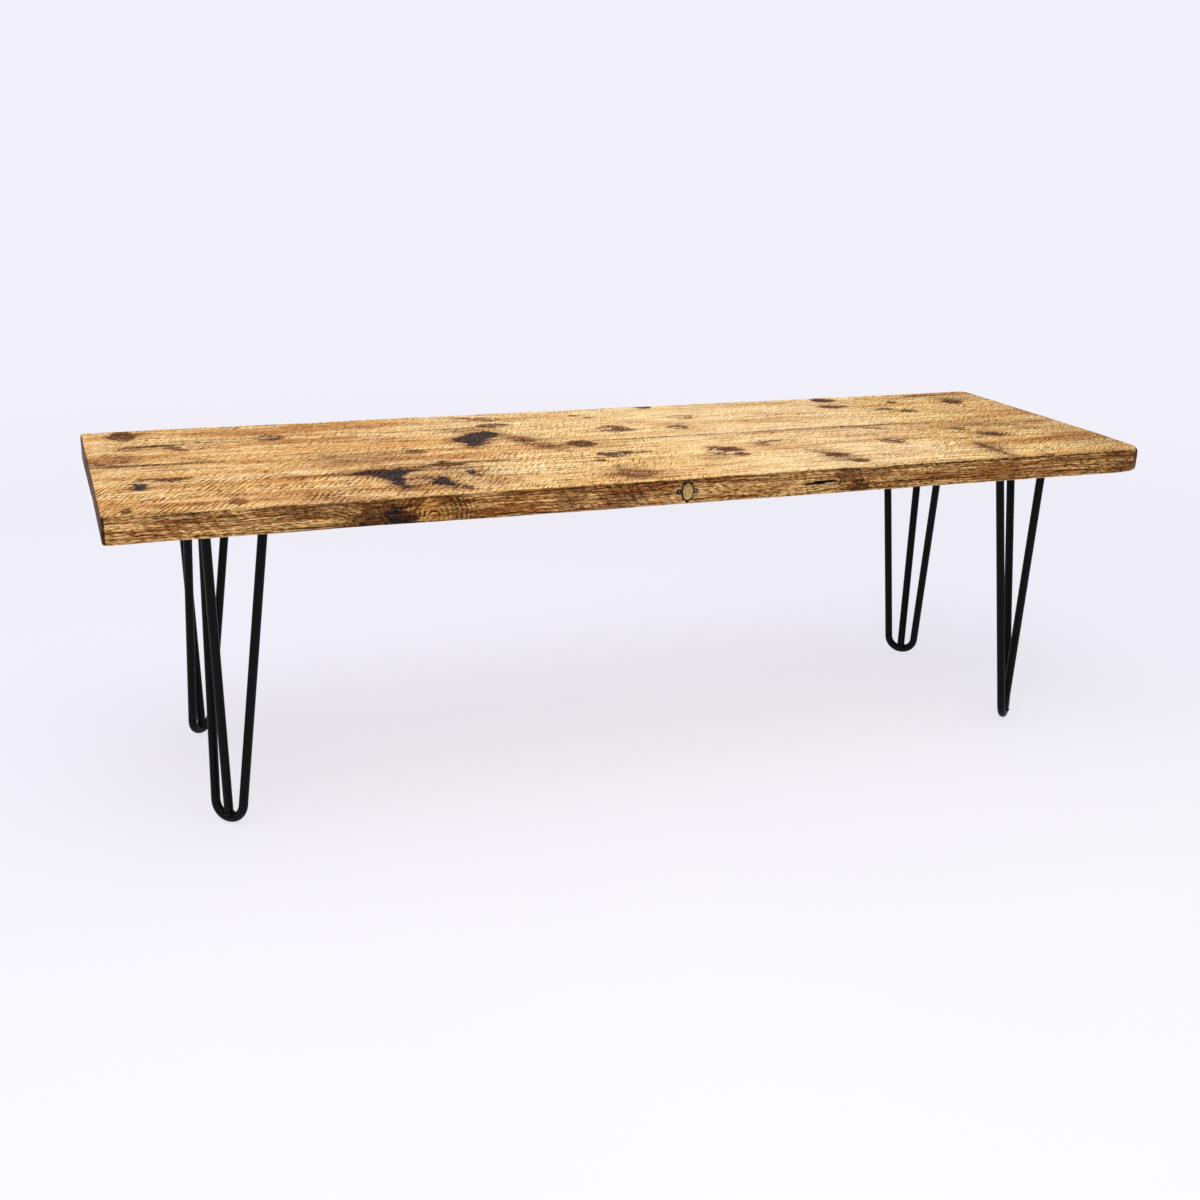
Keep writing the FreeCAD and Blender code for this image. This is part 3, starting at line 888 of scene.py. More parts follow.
        # Ringed knots: a pale heart with blotches, then the rings and a dark rim
        eye = r.carried("eye")
        sway = r.plus(r.times(ragged, 0.045), r.times(crumbs, 0.02))
        warped = r.plus(eye, r.times(sway, r.choose(flat, 0.5, 1.0)))
        whorl = r.math("SINE", r.times(warped, r.choose(flat, 27.0, 24.0)))
        grown = r.choose(flat, r.band(eye, 1.5, 2.5, 1.0, 0.0), r.band(eye, 1.15, 2.1, 1.0, 0.0))
        around = r.times(grown, r.band(wisps, -1.6, 0.4, 0.35, 1.0))
        heart = r.times(r.band(eye, 0.80, 1.20, 1.0, 0.0), r.choose(flat, 0.85, 0.45))
        colour = r.mix(heart, colour, r.mix(flat, self.ring_wood, self.cream))
        blotch = r.band(r.plus(blot, r.times(crumbs, 0.5)), -0.3, 0.9)
        blotch = r.times(blotch, r.band(eye, 0.95, 1.25, 1.0, 0.0))
        colour = r.mix(r.times(blotch, r.choose(flat, 0.3, 0.92)), colour, self.knot)
        rings = r.times(r.band(whorl, 0.0, 0.55), r.times(around, r.choose(flat, 1.0, 0.30)))
        colour = r.mix(rings, colour, self.knot)
        rim = r.times(r.band(warped, 0.62, 0.95), r.band(warped, 1.02, 1.38, 1.0, 0.0))
        rim = r.times(rim, r.band(r.plus(blot, wisps), -1.2, 1.0, 0.22, 1.0))
        colour = r.mix(rim, colour, r.mix(r.band(crumbs, -0.8, 0.8), self.stain, self.knot))

        # Cracks
        line = r.times(r.carried("crack"), r.band(r.plus(crumbs, ragged), -2.0, 0.6, 0.25, 1.0))
        colour = r.mix(line, colour, self.knot)

        # Knots with a dark rind and core
        inside = r.plus(r.carried("knot"), border)
        knot = r.times(r.band(inside, -1.6, 1.6), r.carried("depth"))
        deep = r.times(r.band(inside, 3.0, 8.0), r.band(r.plus(crumbs, wisps), 1.4, -1.0, 0.1, 1.0))
        rind = r.times(r.band(inside, -1.4, 0.6), r.band(inside, 1.8, 4.2, 1.0, 0.0))
        knot_tone = r.mix(r.band(r.plus(crumbs, ragged), -1.3, 1.0), self.knot, self.knot_wood)
        knot_tone = r.mix(r.most(deep, rind), knot_tone, self.knot_core)
        colour = r.mix(r.times(knot, 0.95), colour, knot_tone)

        # Near black patches with ash in the saw marks
        char = r.band(r.plus(r.carried("char"), border), -2.0, 2.4)
        speckle = r.uneven(r.stretch(face, self.speckle_cell, (0.0, 0.0, self.speckle_slant)), 2.0, 0.6)
        char_tone = r.mix(r.band(speckle, 0.5, 1.7), self.char, self.ash)
        char_tone = r.mix(r.band(wisps, 0.6, 1.8, 0.0, 0.7), char_tone, self.red_stain)
        colour = r.mix(r.times(char, 0.97), colour, char_tone)
        clear = r.times(around, r.choose(flat, 0.8, 0.0))
        return colour, r.most(r.most(knot, char), clear)


class EdgeSide(Enum):
    """Which way a board's free long edge looks."""

    FRONT = -1
    BACK = 1


@dataclass(frozen=True)
class Wear:
    """How round the arrises are worn, in millimetres, and where along the bench and across it."""

    arris: float = 2.6
    limits: Pair = (1.0, 8.0)
    top_sway: Ripple = Ripple(7, 47.0, height=1.6, middle=0.4)
    low_sway: Ripple = Ripple(8, 47.0, height=1.6, middle=0.4)
    sway_row: float = 3.0
    chips: Ripple = Ripple(9, 9.0, height=0.9, middle=0.5)
    corner: float = 4.0
    corner_x: Pair = (690.0, 718.0)
    corner_y: Pair = (12.0, 120.0)
    soft_x: float = -420.0
    soft_width: float = 46.0
    soft_top: float = 2.4
    soft_low: float = 3.4
    seam_arris: float = 0.9
    seam_fade: Pair = (2.0, 30.0)

    def radius(self, x: Array, from_outer: Array, upper: bool, edge: EdgeSide, seed: int) -> Array:
        """Works out the radius of the free arrises.

        Args:
            x: places along the bench.
            from_outer: distances from the board's outer edge.
            upper: true for the arris at the top.
            edge: which way the board's free edge looks.
            seed: the board's seed.

        Returns:
            The radius at each place.
        """
        sway = self.top_sway if upper else self.low_sway
        worn = self.arris + sway.at(x, np.full_like(x, self.sway_row), seed)
        worn = worn + self.chips.along(x, seed)
        if edge is EdgeSide.FRONT:
            worn = worn + self.corner * ease(x, *self.corner_x) * (1.0 - ease(from_outer, *self.corner_y))
            soft = self.soft_top if upper else self.soft_low
            worn = worn + soft * hump(x, self.soft_x, self.soft_width)
        return np.clip(worn, *self.limits)

    def with_seam(self, radius: Array, from_seam: Array) -> Array:
        """Goes from the seam's sharp arris to the free arrises' radius."""
        return self.seam_arris + ease(from_seam, *self.seam_fade) * (radius - self.seam_arris)


@dataclass(frozen=True)
class Sawing:
    """The saw's strokes and the rough skin that it left, in millimetres and degrees.

    The strokes on the flat faces come first, then the wide bands on the long edges, then the relief.
    A strong band is its share, its place along the bench and its width.
    """

    close_pitch: float = 5.2
    coarse_pitch: float = 8.6
    left_slant: float = 66.0
    right_slant: float = 46.0
    slant_steps: int = 147
    drift: Ripple = Ripple(1, 60.0, 45.0, 6.0)
    jitter: Ripple = Ripple(2, 15.0, 24.0, 3.6)
    coarse_x: Pair = (150.0, 330.0)
    coarse_y: Pair = (60.0, 100.0)
    coarse_sway: Ripple = Ripple(21, 160.0, 60.0, 0.30)
    coarse_drop: float = 0.10

    band_pitch: float = 18.0
    right_pitch_share: float = 0.62
    band_stops: Triple = (-730.0, -300.0, 730.0)
    band_run: float = 0.78
    band_lean: float = 0.62
    band_climb: float = 0.8
    band_drift: Ripple = Ripple(11, 34.0, 30.0, 16.0)
    band_patches: Ripple = Ripple(12, 150.0)
    band_fade: Pair = (0.45, 0.85)
    band_least: float = 0.06
    band_share: float = 0.32
    strong_bands: tuple[Triple, ...] = ((0.30, -640.0, 60.0), (0.70, -104.0, 54.0))

    stroke_depth: float = 0.40
    stroke_power: float = 1.5
    stroke_patches: Ripple = Ripple(3, 80.0, 34.0)
    stroke_fade: Pair = (0.25, 0.75)
    stroke_least: float = 0.35
    close_share: float = 0.25
    top_swell: Ripple = Ripple(4, 210.0, 70.0, 0.5)
    top_dents: Ripple = Ripple(5, 40.0, 16.0, 0.28)
    pits: Ripple = Ripple(6, 5.5, 7.5)
    pit_fade: Pair = (0.50, 1.0)
    pit_depth: float = 0.26
    band_depth: float = 0.35
    edge_swell: Ripple = Ripple(13, 120.0, 60.0, 0.6)
    edge_dents: Ripple = Ripple(14, 22.0, 7.0, 0.30)
    edge_ridges: Ripple = Ripple(15, 90.0, 2.6, 0.20)
    lip_depth: float = 0.4
    char_fade: Pair = (-3.0, 6.0)
    knot_fade: Pair = (-2.0, 5.0)
    top_hollows: Pair = (0.7, 0.35)
    edge_hollows: Pair = (0.8, 0.4)

    def rake(self, x: Array, y: Array, seed: int) -> Array:
        """Gives how coarse the strokes are, from 0 to 1, most at the front left of the top."""
        front_left = ease(-x, *self.coarse_x) * ease(-y, *self.coarse_y)
        return np.clip(front_left + self.coarse_sway.at(x, y, seed) - self.coarse_drop, 0.0, 1.0)

    def strokes(self, x: Array, y: Array, ends: Pair, seed: int) -> tuple[Array, Array]:
        """Works out two runs of strokes on the flat faces, counted in strokes.

        Args:
            x: places along the bench.
            y: places across it.
            ends: where the board starts and stops along the bench.
            seed: the board's seed.

        Returns:
            The close run and the coarse run.
        """
        drift = self.drift.at(x, y, seed) + self.jitter.at(x, y, seed)
        slants = np.radians(np.linspace(self.left_slant, self.right_slant, self.slant_steps))
        places = np.linspace(*ends, self.slant_steps)
        climbs = np.concatenate([[0.0], np.cumsum(np.tan(slants[1:]) * np.diff(places))])
        across = (np.interp(x, places, climbs) - y) * np.cos(np.interp(x, places, slants).mean())
        return (across + drift) / self.close_pitch, (across + drift) / self.coarse_pitch

    def bands(self, x: Array, z: Array, edge: EdgeSide, seed: int) -> tuple[Array, Array]:
        """Works out the wide bands on the long edges, counted in bands, and how strongly they show.

        Args:
            x: places along the bench.
            z: heights.
            edge: which way the board's free edge looks.
            seed: the board's seed.

        Returns:
            The bands and their strength from 0 to 1.
        """
        left, turn, right = self.band_stops
        right_pitch = self.right_pitch_share * self.band_pitch
        counts = ((left - turn) / self.band_pitch, 0.0, (right - turn) / right_pitch)
        run = self.band_run * np.interp(x, self.band_stops, counts)
        climb = self.band_lean * z + self.band_drift.at(x, z, seed)
        patchy = ease(self.band_patches.along(x, seed), *self.band_fade)
        strength = self.band_least + self.band_share * patchy
        if edge is EdgeSide.FRONT:
            for share, place, width in self.strong_bands:
                strength = strength + share * hump(x, place, width)
        return run + climb / (self.band_climb * self.band_pitch), np.clip(strength, 0.0, 1.0)

    def hollows(self, carried: dict[str, Array], depths: Pair) -> Array:
        """Gives how far the dark patches and knots sink, by the depth of each kind."""
        char = depths[0] * ease(carried["char"], *self.char_fade)
        return char + depths[1] * ease(carried["knot"], *self.knot_fade)

    def top_relief(self, x: Array, y: Array, carried: dict[str, Array], seed: int) -> Array:
        """Works out how far the top and underside lie below their sawn planes.

        Args:
            x: places along the bench.
            y: places across it.
            carried: the fields that the board carries so far.
            seed: the board's seed.

        Returns:
            Depths in millimetres.
        """
        coarse = 0.5 + 0.5 * np.sin(FULL_TURN * carried["rasp"])
        lively = ease(self.stroke_patches.at(x, y, seed), *self.stroke_fade)
        groove = coarse ** self.stroke_power * lift(lively, self.stroke_least)
        groove = groove * lift(carried["rake"], self.close_share)
        swell = self.top_swell.at(x, y, seed) + self.top_dents.at(x, y, seed)
        pits = self.pit_depth * ease(self.pits.at(x, y, seed), *self.pit_fade)
        return self.stroke_depth * groove + swell + pits + self.hollows(carried, self.top_hollows)

    def edge_relief(self, x: Array, z: Array, carried: dict[str, Array], lip_shadow: Array, seed: int) -> Array:
        """Works out how far the long edges and ends lie below their planes.

        Args:
            x: places along the bench.
            z: heights.
            carried: the fields that the board carries so far.
            lip_shadow: how dark the painted shadow lines by the arrises are, which sink with their
                darkness.
            seed: the board's seed.

        Returns:
            Depths in millimetres.
        """
        groove = (0.5 + 0.5 * np.sin(FULL_TURN * carried["edge_saw"])) * carried["edge_bite"]
        swell = self.edge_swell.at(x, z, seed) + self.edge_dents.at(x, z, seed)
        ridges = self.edge_ridges.at(x, z, seed)
        hollow = self.hollows(carried, self.edge_hollows)
        return self.band_depth * groove + swell + ridges + hollow + self.lip_depth * lip_shadow


@dataclass(frozen=True)
class WaxAndPaintedLight:
    """Where dark wax gathers, where shadow lines are painted by the arrises, and where the worn arris is
    painted pale as a highlight, in millimetres.

    The seam comes first, then the painted shadow lines by the arrises, then the right end, then the worn
    arris and its painted highlight.
    """

    seam_reach: float = 3.6
    seam_power: float = 1.6
    seam_least: float = 0.05
    seam_patches: Ripple = Ripple(31, 70.0, height=0.25)
    left_share: float = 0.75
    left_x: Pair = (520.0, 590.0)
    right_start: Pair = (-70.0, 0.0)
    right_stop: Pair = (-560.0, -420.0)
    right_patches: Ripple = Ripple(32, 26.0)
    right_least: float = 0.45

    lip_drop: float = 3.3
    lip_width: float = 1.7
    lip_patches: Ripple = Ripple(41, 34.0)
    lip_fade: Pair = (0.20, 0.60)
    lip_least: float = 0.25
    low_rise: float = 1.8
    low_width: float = 1.2
    low_patches: Ripple = Ripple(42, 41.0)
    low_fade: Pair = (0.3, 0.7)
    low_share: float = 0.6

    end_inset: float = 2.4
    end_width: float = 3.4
    end_patches: Ripple = Ripple(43, 16.0)
    end_least: float = 0.35
    joint_width: float = 1.1
    joint_reach: float = 1.0
    joint_share: float = 0.9

    # The worn arris painted pale: wear together with a painted highlight
    rub_highlight_tilt: Pair = (0.10, 0.55)
    rub_highlight_patches: Ripple = Ripple(51, 55.0)
    rub_highlight_fade: Pair = (0.25, 0.75)
    rub_highlight_least: float = 0.30
    dull_start: Pair = (-620.0, -500.0)
    dull_stop: Pair = (330.0, 370.0)
    dull_share: float = 0.75
    rub_highlight_stop: Pair = (-14.0, -8.0)
    end_rub_highlight: float = 0.30

    def seam(self, x: Array, from_seam: Array) -> Array:
        """Works out how much wax lies in the seam, most at the left end, alike on both boards.

        Args:
            x: places along the bench.
            from_seam: distances from the seam.

        Returns:
            Amounts from 0 to 1.
        """
        near = np.exp(-((from_seam / self.seam_reach) ** self.seam_power))
        patchy = self.seam_least + self.seam_patches.along(x, SHARED_SEED)
        patchy = patchy + self.left_share * ease(-x, *self.left_x)
        right_run = ease(x, *self.right_start) * ease(-x, *self.right_stop)
        patchy = patchy + right_run * lift(self.right_patches.along(x, SHARED_SEED), self.right_least)
        return np.clip(near * patchy, 0.0, 1.0)

    def lip_shadow(self, x: Array, z: Array, heights: Pair, seed: int) -> Array:
        """Works out the broken painted shadow lines under the worn top arris and over the lower one.

        Args:
            x: places along the bench.
            z: heights.
            heights: the board's lowest and highest place.
            seed: the board's seed.

        Returns:
            Amounts from 0 to 1.
        """
        bottom, top = heights
        under = hump(z, top - self.lip_drop, self.lip_width)
        under = under * lift(ease(self.lip_patches.along(x, seed), *self.lip_fade), self.lip_least)
        over = hump(z, bottom + self.low_rise, self.low_width)
        over = over * ease(self.low_patches.along(x, seed), *self.low_fade)
        return np.clip(under + self.low_share * over, 0.0, 1.0)

    def right_end(self, from_right: Array, y: Array, seed: int) -> Array:
        """Gives the dark line along the right end, from 0 to 1."""
        patchy = lift(self.end_patches.along(y, seed), self.end_least)
        return hump(from_right, self.end_inset, self.end_width) * patchy

    def joint(self, from_seam: Array, from_end: Array) -> Array:
        """Gives the dark line that the seam draws on the board's ends, from 0 to 1."""
        share = np.where(from_end < self.joint_reach, self.joint_share, 0.0)
        return hump(from_seam, 0.0, self.joint_width) * share

    def rubbed_highlight(self, x: Array, tilt: Array, from_right: Array, plain_end: Array, seed: int) -> Array:
        """Works out how pale the arris is painted for its wear and a painted highlight, least by the dark
        patches at the front left.

        Args:
            x: places along the bench.
            tilt: how much a point looks both up and out, from 0 on a flat face.
            from_right: distances from the right end.
            plain_end: true on the ends.
            seed: the board's seed.

        Returns:
            Amounts from 0 to 1.
        """
        patchy = lift(ease(self.rub_highlight_patches.along(x, seed), *self.rub_highlight_fade), self.rub_highlight_least)
        dull = self.dull_share * ease(x, *self.dull_start) * ease(-x, *self.dull_stop)
        rub_highlight = ease(tilt, *self.rub_highlight_tilt) * (patchy * (1.0 - dull))
        rub_highlight = rub_highlight * (1.0 - ease(-from_right, *self.rub_highlight_stop))
        return rub_highlight * np.where(plain_end, self.end_rub_highlight, 1.0)


@dataclass(frozen=True)
class Split:
    """The open split in the front edge, in millimetres, with painted shade inside it."""

    x: float = 195.0
    z: float = 421.0
    length: float = 48.0
    gap: float = 5.6
    least_gap: float = 0.001
    depth: float = 10.0
    sway: float = 1.2
    sway_length: float = 17.0
    edge_reach: float = 1.0
    darkness: float = 2.2

    def opened(self, x: Array, z: Array) -> Array:
        """Works out how deep the split goes.

        Args:
            x: places along the bench.
            z: heights.

        Returns:
            Depths in millimetres.
        """
        u = (x - self.x) / (0.5 * self.length)
        middle = self.z + self.sway * np.sin((x - self.x) / self.sway_length)
        half = 0.5 * self.gap * np.sqrt(np.clip(1.0 - u * u, 0.0, 1.0))
        open_share = np.clip(1.0 - np.abs(z - middle) / np.maximum(half, self.least_gap), 0.0, 1.0)
        return self.depth * np.sqrt(open_share) * (np.abs(u) < 1.0)


@dataclass
class Board:
    """One plank of the seat: a grid drawn out to a slab, then sawn, worn and marked point by point.

    Sizes are in millimetres, and the heart of the log that it was cut from is in metres.
    """

    node: str
    edge: EdgeSide
    left_corner: float
    right_corner: float
    columns: int
    rows: int
    pith: Pair
    edge_marks: tuple[Mark, ...]
    seed: int
    wear: Wear = Wear()
    sawing: Sawing = Sawing()
    wax_and_painted_light: WaxAndPaintedLight = WaxAndPaintedLight()
    split: Split = Split()
    layers: int = 24
    rings_below: tuple[int, ...] = (2, 4)
    grid_below: int = 6
    grid_drop: float = 1.3
    close_columns: tuple[float, ...] = (0.0, 0.6, 1.4, 2.6, 4.2, 6.4, 9.4, 13.0, 17.5, 22.5, 28.0)
    close_rows: tuple[float, ...] = (0.0, 0.6, 1.4, 2.6, 4.4, 6.8)
    close_layers: tuple[float, ...] = (0.0, 0.7, 1.5, 2.6, 4.2)
    smooth_angle: float = 50.0
    skin_share: float = 0.9999
    left_trim: float = 0.0
    left_trim_reach: float = 40.0
    seam_trim_reach: float = 190.0
    least_trim: float = 0.1
    badge_x: float = -2.0
    badge_clear: Pair = (11.0, 26.0)
    sawn_skin: float = 0.12
    low_skin: float = 0.05
    low_relief: float = 0.5
    end_relief: float = 0.15
    patch_lean: Pair = (0.22, 0.10)
    patch_taper: float = 0.12
    patch_halo: Pair = (-26.0, 4.0)
    mark_lean: Pair = (0.25, -0.12)
    mark_limit: float = 30.0
    edge_reach: float = 40.0
    edge_taper: float = 0.9
    eye_limit: float = 4.0
    eye_taper: float = 0.12
    bend_share: float = 0.34
    bend_fall: float = 0.5
    bend_depth: float = 12.0
    margin: float = 0.02

    def __post_init__(self) -> None:
        """Reads the board's box from the frame, in millimetres."""
        low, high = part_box(self.node)
        self.low = np.array(low) / MM
        self.high = np.array(high) / MM
        self.out = float(self.edge.value)
        self.outer_y = self.low[1] if self.edge is EdgeSide.FRONT else self.high[1]
        self.seam_y = self.high[1] if self.edge is EdgeSide.FRONT else self.low[1]

    def build(self) -> bpy.types.Object:
        """Models the slab and gives it its shape and marks.

        Returns:
            The finished board, riding on the bench.
        """
        piece = self.slab()
        flat = np.empty(len(piece.data.vertices) * 3)
        piece.data.vertices.foreach_get("co", flat)
        points, carried = self.shape(flat.reshape(-1, 3))
        piece.data.vertices.foreach_set("co", (points * MM).ravel())
        for name, values in carried.items():
            layer = piece.data.attributes.new(name, "FLOAT", "POINT")
            layer.data.foreach_set("value", values.astype(np.float32))
        piece.data.update()
        bpy.ops.object.mode_set(mode="EDIT")
        bpy.ops.mesh.select_all(action="SELECT")
        bpy.ops.mesh.normals_make_consistent(inside=False)
        bpy.ops.object.mode_set(mode="OBJECT")
        bpy.ops.object.shade_smooth_by_angle(angle=math.radians(self.smooth_angle))
        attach(piece, BODY)
        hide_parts(self.node)
        return piece

    def slab(self) -> bpy.types.Object:
        """Draws a unit slab: a fine grid on top, layered sides, and rings round a coarser grid below.

        Returns:
            The slab, from -1 to 1 along each axis.
        """
        deselect()
        bpy.ops.mesh.primitive_grid_add(x_subdivisions=self.columns, y_subdivisions=self.rows, size=2.0,
                                        location=(0.0, 0.0, 0.0))
        piece = bpy.context.object
        piece.name = self.node + "_plank"
        piece.data.name = piece.name
        bpy.ops.object.mode_set(mode="EDIT")
        bpy.ops.mesh.select_mode(type="EDGE")
        bpy.ops.mesh.select_all(action="SELECT")
        bpy.ops.transform.translate(value=(0.0, 0.0, 1.0))
        bpy.ops.mesh.region_to_loop()
        down = (0.0, 0.0, -2.0 / self.layers)
        for _ in range(self.layers):
            bpy.ops.mesh.extrude_edges_move(TRANSFORM_OT_translate={"value": down})
        before = self.within(0)
        for steps in self.rings_below:
            ring = self.within(steps)
            bpy.ops.mesh.extrude_edges_move(TRANSFORM_OT_translate={"value": (0.0, 0.0, 0.0)})
            bpy.ops.transform.resize(value=(ring[0] / before[0], ring[1] / before[1], 1.0))
            before = ring

        # The grid below starts a little lower, so that the bridge joins it to the last ring only
        bpy.ops.mesh.primitive_grid_add(x_subdivisions=self.columns // 2, y_subdivisions=self.rows // 2,
                                        size=2.0, location=(0.0, 0.0, -self.grid_drop))
        bpy.ops.transform.resize(value=(*self.within(self.grid_below), 1.0))
        bpy.ops.mesh.region_to_loop()
        bpy.ops.mesh.subdivide(number_cuts=1)
        bpy.ops.mesh.select_all(action="DESELECT")
        bpy.ops.mesh.select_non_manifold()
        bpy.ops.mesh.bridge_edge_loops()
        bpy.ops.object.mode_set(mode="OBJECT")
        return piece

    def within(self, steps: int) -> Pair:
        """Gives the unit slab's half length and half width some columns and rows in from the edge."""
        return 1.0 - 2.0 * steps / self.columns, 1.0 - 2.0 * steps / self.rows

    def spread(self, axis: int, count: int, close: tuple[float, ...]) -> Array:
        """Spreads the slab's columns, rows or layers, closer together at the arrises.

        Args:
            axis: the axis, 0 for X, 1 for Y and 2 for Z.
            count: how many steps there are along it.
            close: the close places in from each side, of which the last one starts the even part.

        Returns:
            The places along the axis, in millimetres.
        """
        low = self.low[axis]
        high = self.high[axis]
        near = np.array(close[:-1])
        even = np.linspace(low + close[-1], high - close[-1], count + 1 - 2 * len(near))
        return np.concatenate([low + near, even, high - near[::-1]])

    def shape(self, shares: Array) -> tuple[Array, dict[str, Array]]:
        """Places every point of the slab and works out what it carries for the finish.

        Args:
            shares: points of the unit slab, each part from -1 to 1.

        Returns:
            The points in millimetres, and the numbers that they carry, by name.
        """
        places = (self.spread(0, self.columns, self.close_columns),
                  self.spread(1, self.rows, self.close_rows),
                  self.spread(2, self.layers, self.close_layers))
        x, y, z = (np.interp(shares[:, axis], np.linspace(-1.0, 1.0, len(along)), along)
                   for axis, along in enumerate(places))
        skin = np.abs(shares) > self.skin_share
        wall = skin[:, 0] | skin[:, 1]
        from_left = x - self.low[0]
        from_right = self.high[0] - x
        from_outer = np.abs(y - self.outer_y)
        from_seam = np.abs(y - self.seam_y)
        by_left = from_left < from_right
        from_end = np.minimum(from_left, from_right)
        trim = self.left_trim * np.clip(1.0 - from_left / self.left_trim_reach, 0.0, 1.0)
        trim = trim * np.clip(1.0 - from_seam / self.seam_trim_reach, self.least_trim, 1.0)

        # The outline in plan, with the two outer corners rounded
        radius = np.where(by_left, self.left_corner, self.right_corner)
        end_way = np.where(by_left, -1.0, 1.0)
        into_x = radius - from_end
        into_y = radius - from_outer
        corner = (into_x > 0.0) & (into_y > 0.0)
        reach = np.maximum(np.hypot(into_x, into_y), TINY)
        pull = np.where(corner, np.maximum(into_x, into_y) / reach, 1.0)
        x = np.where(corner, x + end_way * into_x * (pull - 1.0), x)
        y = np.where(corner, y + self.out * into_y * (pull - 1.0), y)
        inset = np.minimum(from_end, from_outer)
        ends_first = from_end < from_outer
        way_x = np.where(corner, end_way * into_x / reach, np.where(ends_first, end_way, 0.0))
        way_y = np.where(corner, self.out * into_y / reach, np.where(ends_first, 0.0, self.out))
        by_seam = from_seam < inset
        inset = np.where(by_seam, from_seam, inset)
        way_x = np.where(by_seam, 0.0, way_x)
        way_y = np.where(by_seam, -self.out, way_y)

        # Worn arrises
        from_top = self.high[2] - z
        from_bottom = z - self.low[2]
        upper = from_top < from_bottom
        rounding = np.where(upper, self.wear.radius(x, from_outer, True, self.edge, self.seed),
                            self.wear.radius(x, from_outer, False, self.edge, self.seed))
        rounding = self.wear.with_seam(rounding, from_seam)
        climb = np.where(upper, from_top, from_bottom)
        over = np.clip(rounding - inset, 0.0, None)
        up = np.clip(rounding - climb, 0.0, None)
        length = np.maximum(np.hypot(over, up), TINY)
        worn = (over > 0.0) & (up > 0.0)
        new_inset = np.where(worn, rounding - rounding * over / length, inset)
        new_climb = np.where(worn, rounding - rounding * up / length, climb)
        x = x + way_x * (inset - new_inset)
        y = y + way_y * (inset - new_inset)
        z = np.where(upper, self.high[2] - new_climb, self.low[2] + new_climb)
        level = np.where(worn, up / length, np.where(wall & ~skin[:, 2], 0.0, 1.0))
        level = np.where(wall & ~worn & (climb > 0.0), 0.0, level)
        upright = np.sqrt(np.clip(1.0 - level * level, 0.0, 1.0))

        # Marks, as fields that the finish reads
        plain_end = ends_first & ~corner
        tilt = np.where(by_seam, 0.0, np.minimum(level, upright))
        # Painted shadow lines under the top arris and over the lower one
        lip_shadow = self.wax_and_painted_light.lip_shadow(x, z, (self.low[2], self.high[2]), self.seed)
        carried = self.marks(x, y, z)
        # The arris: wear together with a painted highlight where it turns from the top to the edge
        carried["arris"] = self.wax_and_painted_light.rubbed_highlight(x, tilt, from_right, plain_end, self.seed)
        carried["rake"] = self.sawing.rake(x, y, self.seed)
        carried["saw"], carried["rasp"] = self.sawing.strokes(x, y, (self.low[0], self.high[0]), self.seed)
        carried["edge_saw"], carried["edge_bite"] = self.sawing.bands(x, z, self.edge, self.seed)
        # Dark wax in the seam, the painted shadow lines, the dark line at the right end and the dark joint
        # on the ends
        carried["seam"] = np.maximum.reduce(
            [self.wax_and_painted_light.seam(x, np.abs(y - self.seam_y)), upright * lip_shadow,
             self.wax_and_painted_light.right_end(from_right, y, self.seed), upright * self.wax_and_painted_light.joint(from_seam, from_end)])
        carried["split"] = np.zeros(x.shape)

        # Relief, always inwards
        relief = self.sawing.top_relief(x, y, carried, self.seed)
        side_relief = self.sawing.edge_relief(x, z, carried, lip_shadow, self.seed)
        if self.edge is EdgeSide.FRONT:
            side_relief = side_relief * ease(np.abs(x - self.badge_x), *self.badge_clear)
        side_relief = side_relief * np.where(plain_end, self.end_relief, 1.0)
        flat_sink = np.where(upper, self.sawn_skin + relief, self.low_skin + self.low_relief * relief)
        edge_sink = np.where(by_seam, 0.0, self.sawn_skin + side_relief)
        z = z + np.where(upper, -1.0, 1.0) * level * flat_sink
        x = x - way_x * upright * edge_sink
        y = y - way_y * upright * edge_sink
        if self.edge is EdgeSide.FRONT:
            behind = by_seam | (from_outer > self.split.edge_reach)
            opened = self.split.opened(x, z) * upright * np.where(behind, 0.0, 1.0)
            y = y + opened
            # How dark the painted shade inside the open split is
            carried["split"] = np.clip(opened / self.split.depth * self.split.darkness, 0.0, 1.0)
        points = np.stack([x + trim, y, z], axis=1)
        return np.clip(points, self.low + self.margin, self.high - self.margin), carried

    def marks(self, x: Array, y: Array, z: Array) -> dict[str, Array]:
        """Works out the marks' fields at points: dark patches, knots, rings, stains and the grain's bend.

        Args:
            x: places along the bench, in millimetres.
            y: places across it.
            z: heights.

        Returns:
            The fields by name.
        """
        down = self.high[2] - z
        empty = {"char": -self.mark_limit, "knot": -self.mark_limit, "eye": self.eye_limit, "haze": 0.0,
                 "bend": 0.0, "depth": 1.0, "crack": 0.0}
        fields = {name: np.full(x.shape, fill) for name, fill in empty.items()}
        for patch in TOP_PATCHES:
            inside = patch.inside(x + self.patch_lean[0] * down, y + self.patch_lean[1] * down)
            inside = inside - self.patch_taper * down
            fields["char"] = np.maximum(fields["char"], inside)
            fields["haze"] = np.maximum(fields["haze"], ease(inside, *self.patch_halo))
        for mark in TOP_MARKS:
            self.lay(fields, mark, x + self.mark_lean[0] * down, y + self.mark_lean[1] * down)
        depth = np.abs(y - self.outer_y)
        near = depth < self.edge_reach
        for mark in self.edge_marks:
            part = {name: values[near] for name, values in fields.items()}
            self.lay(part, mark, x[near], z[near], self.edge_taper * depth[near])
            for name, values in part.items():
                fields[name][near] = values
        for name in ("char", "knot"):
            fields[name] = np.clip(fields[name], -self.mark_limit, self.mark_limit)
        fields["eye"] = np.clip(fields["eye"], 0.0, self.eye_limit)
        fields["haze"] = np.clip(fields["haze"], 0.0, 1.0)
        return fields

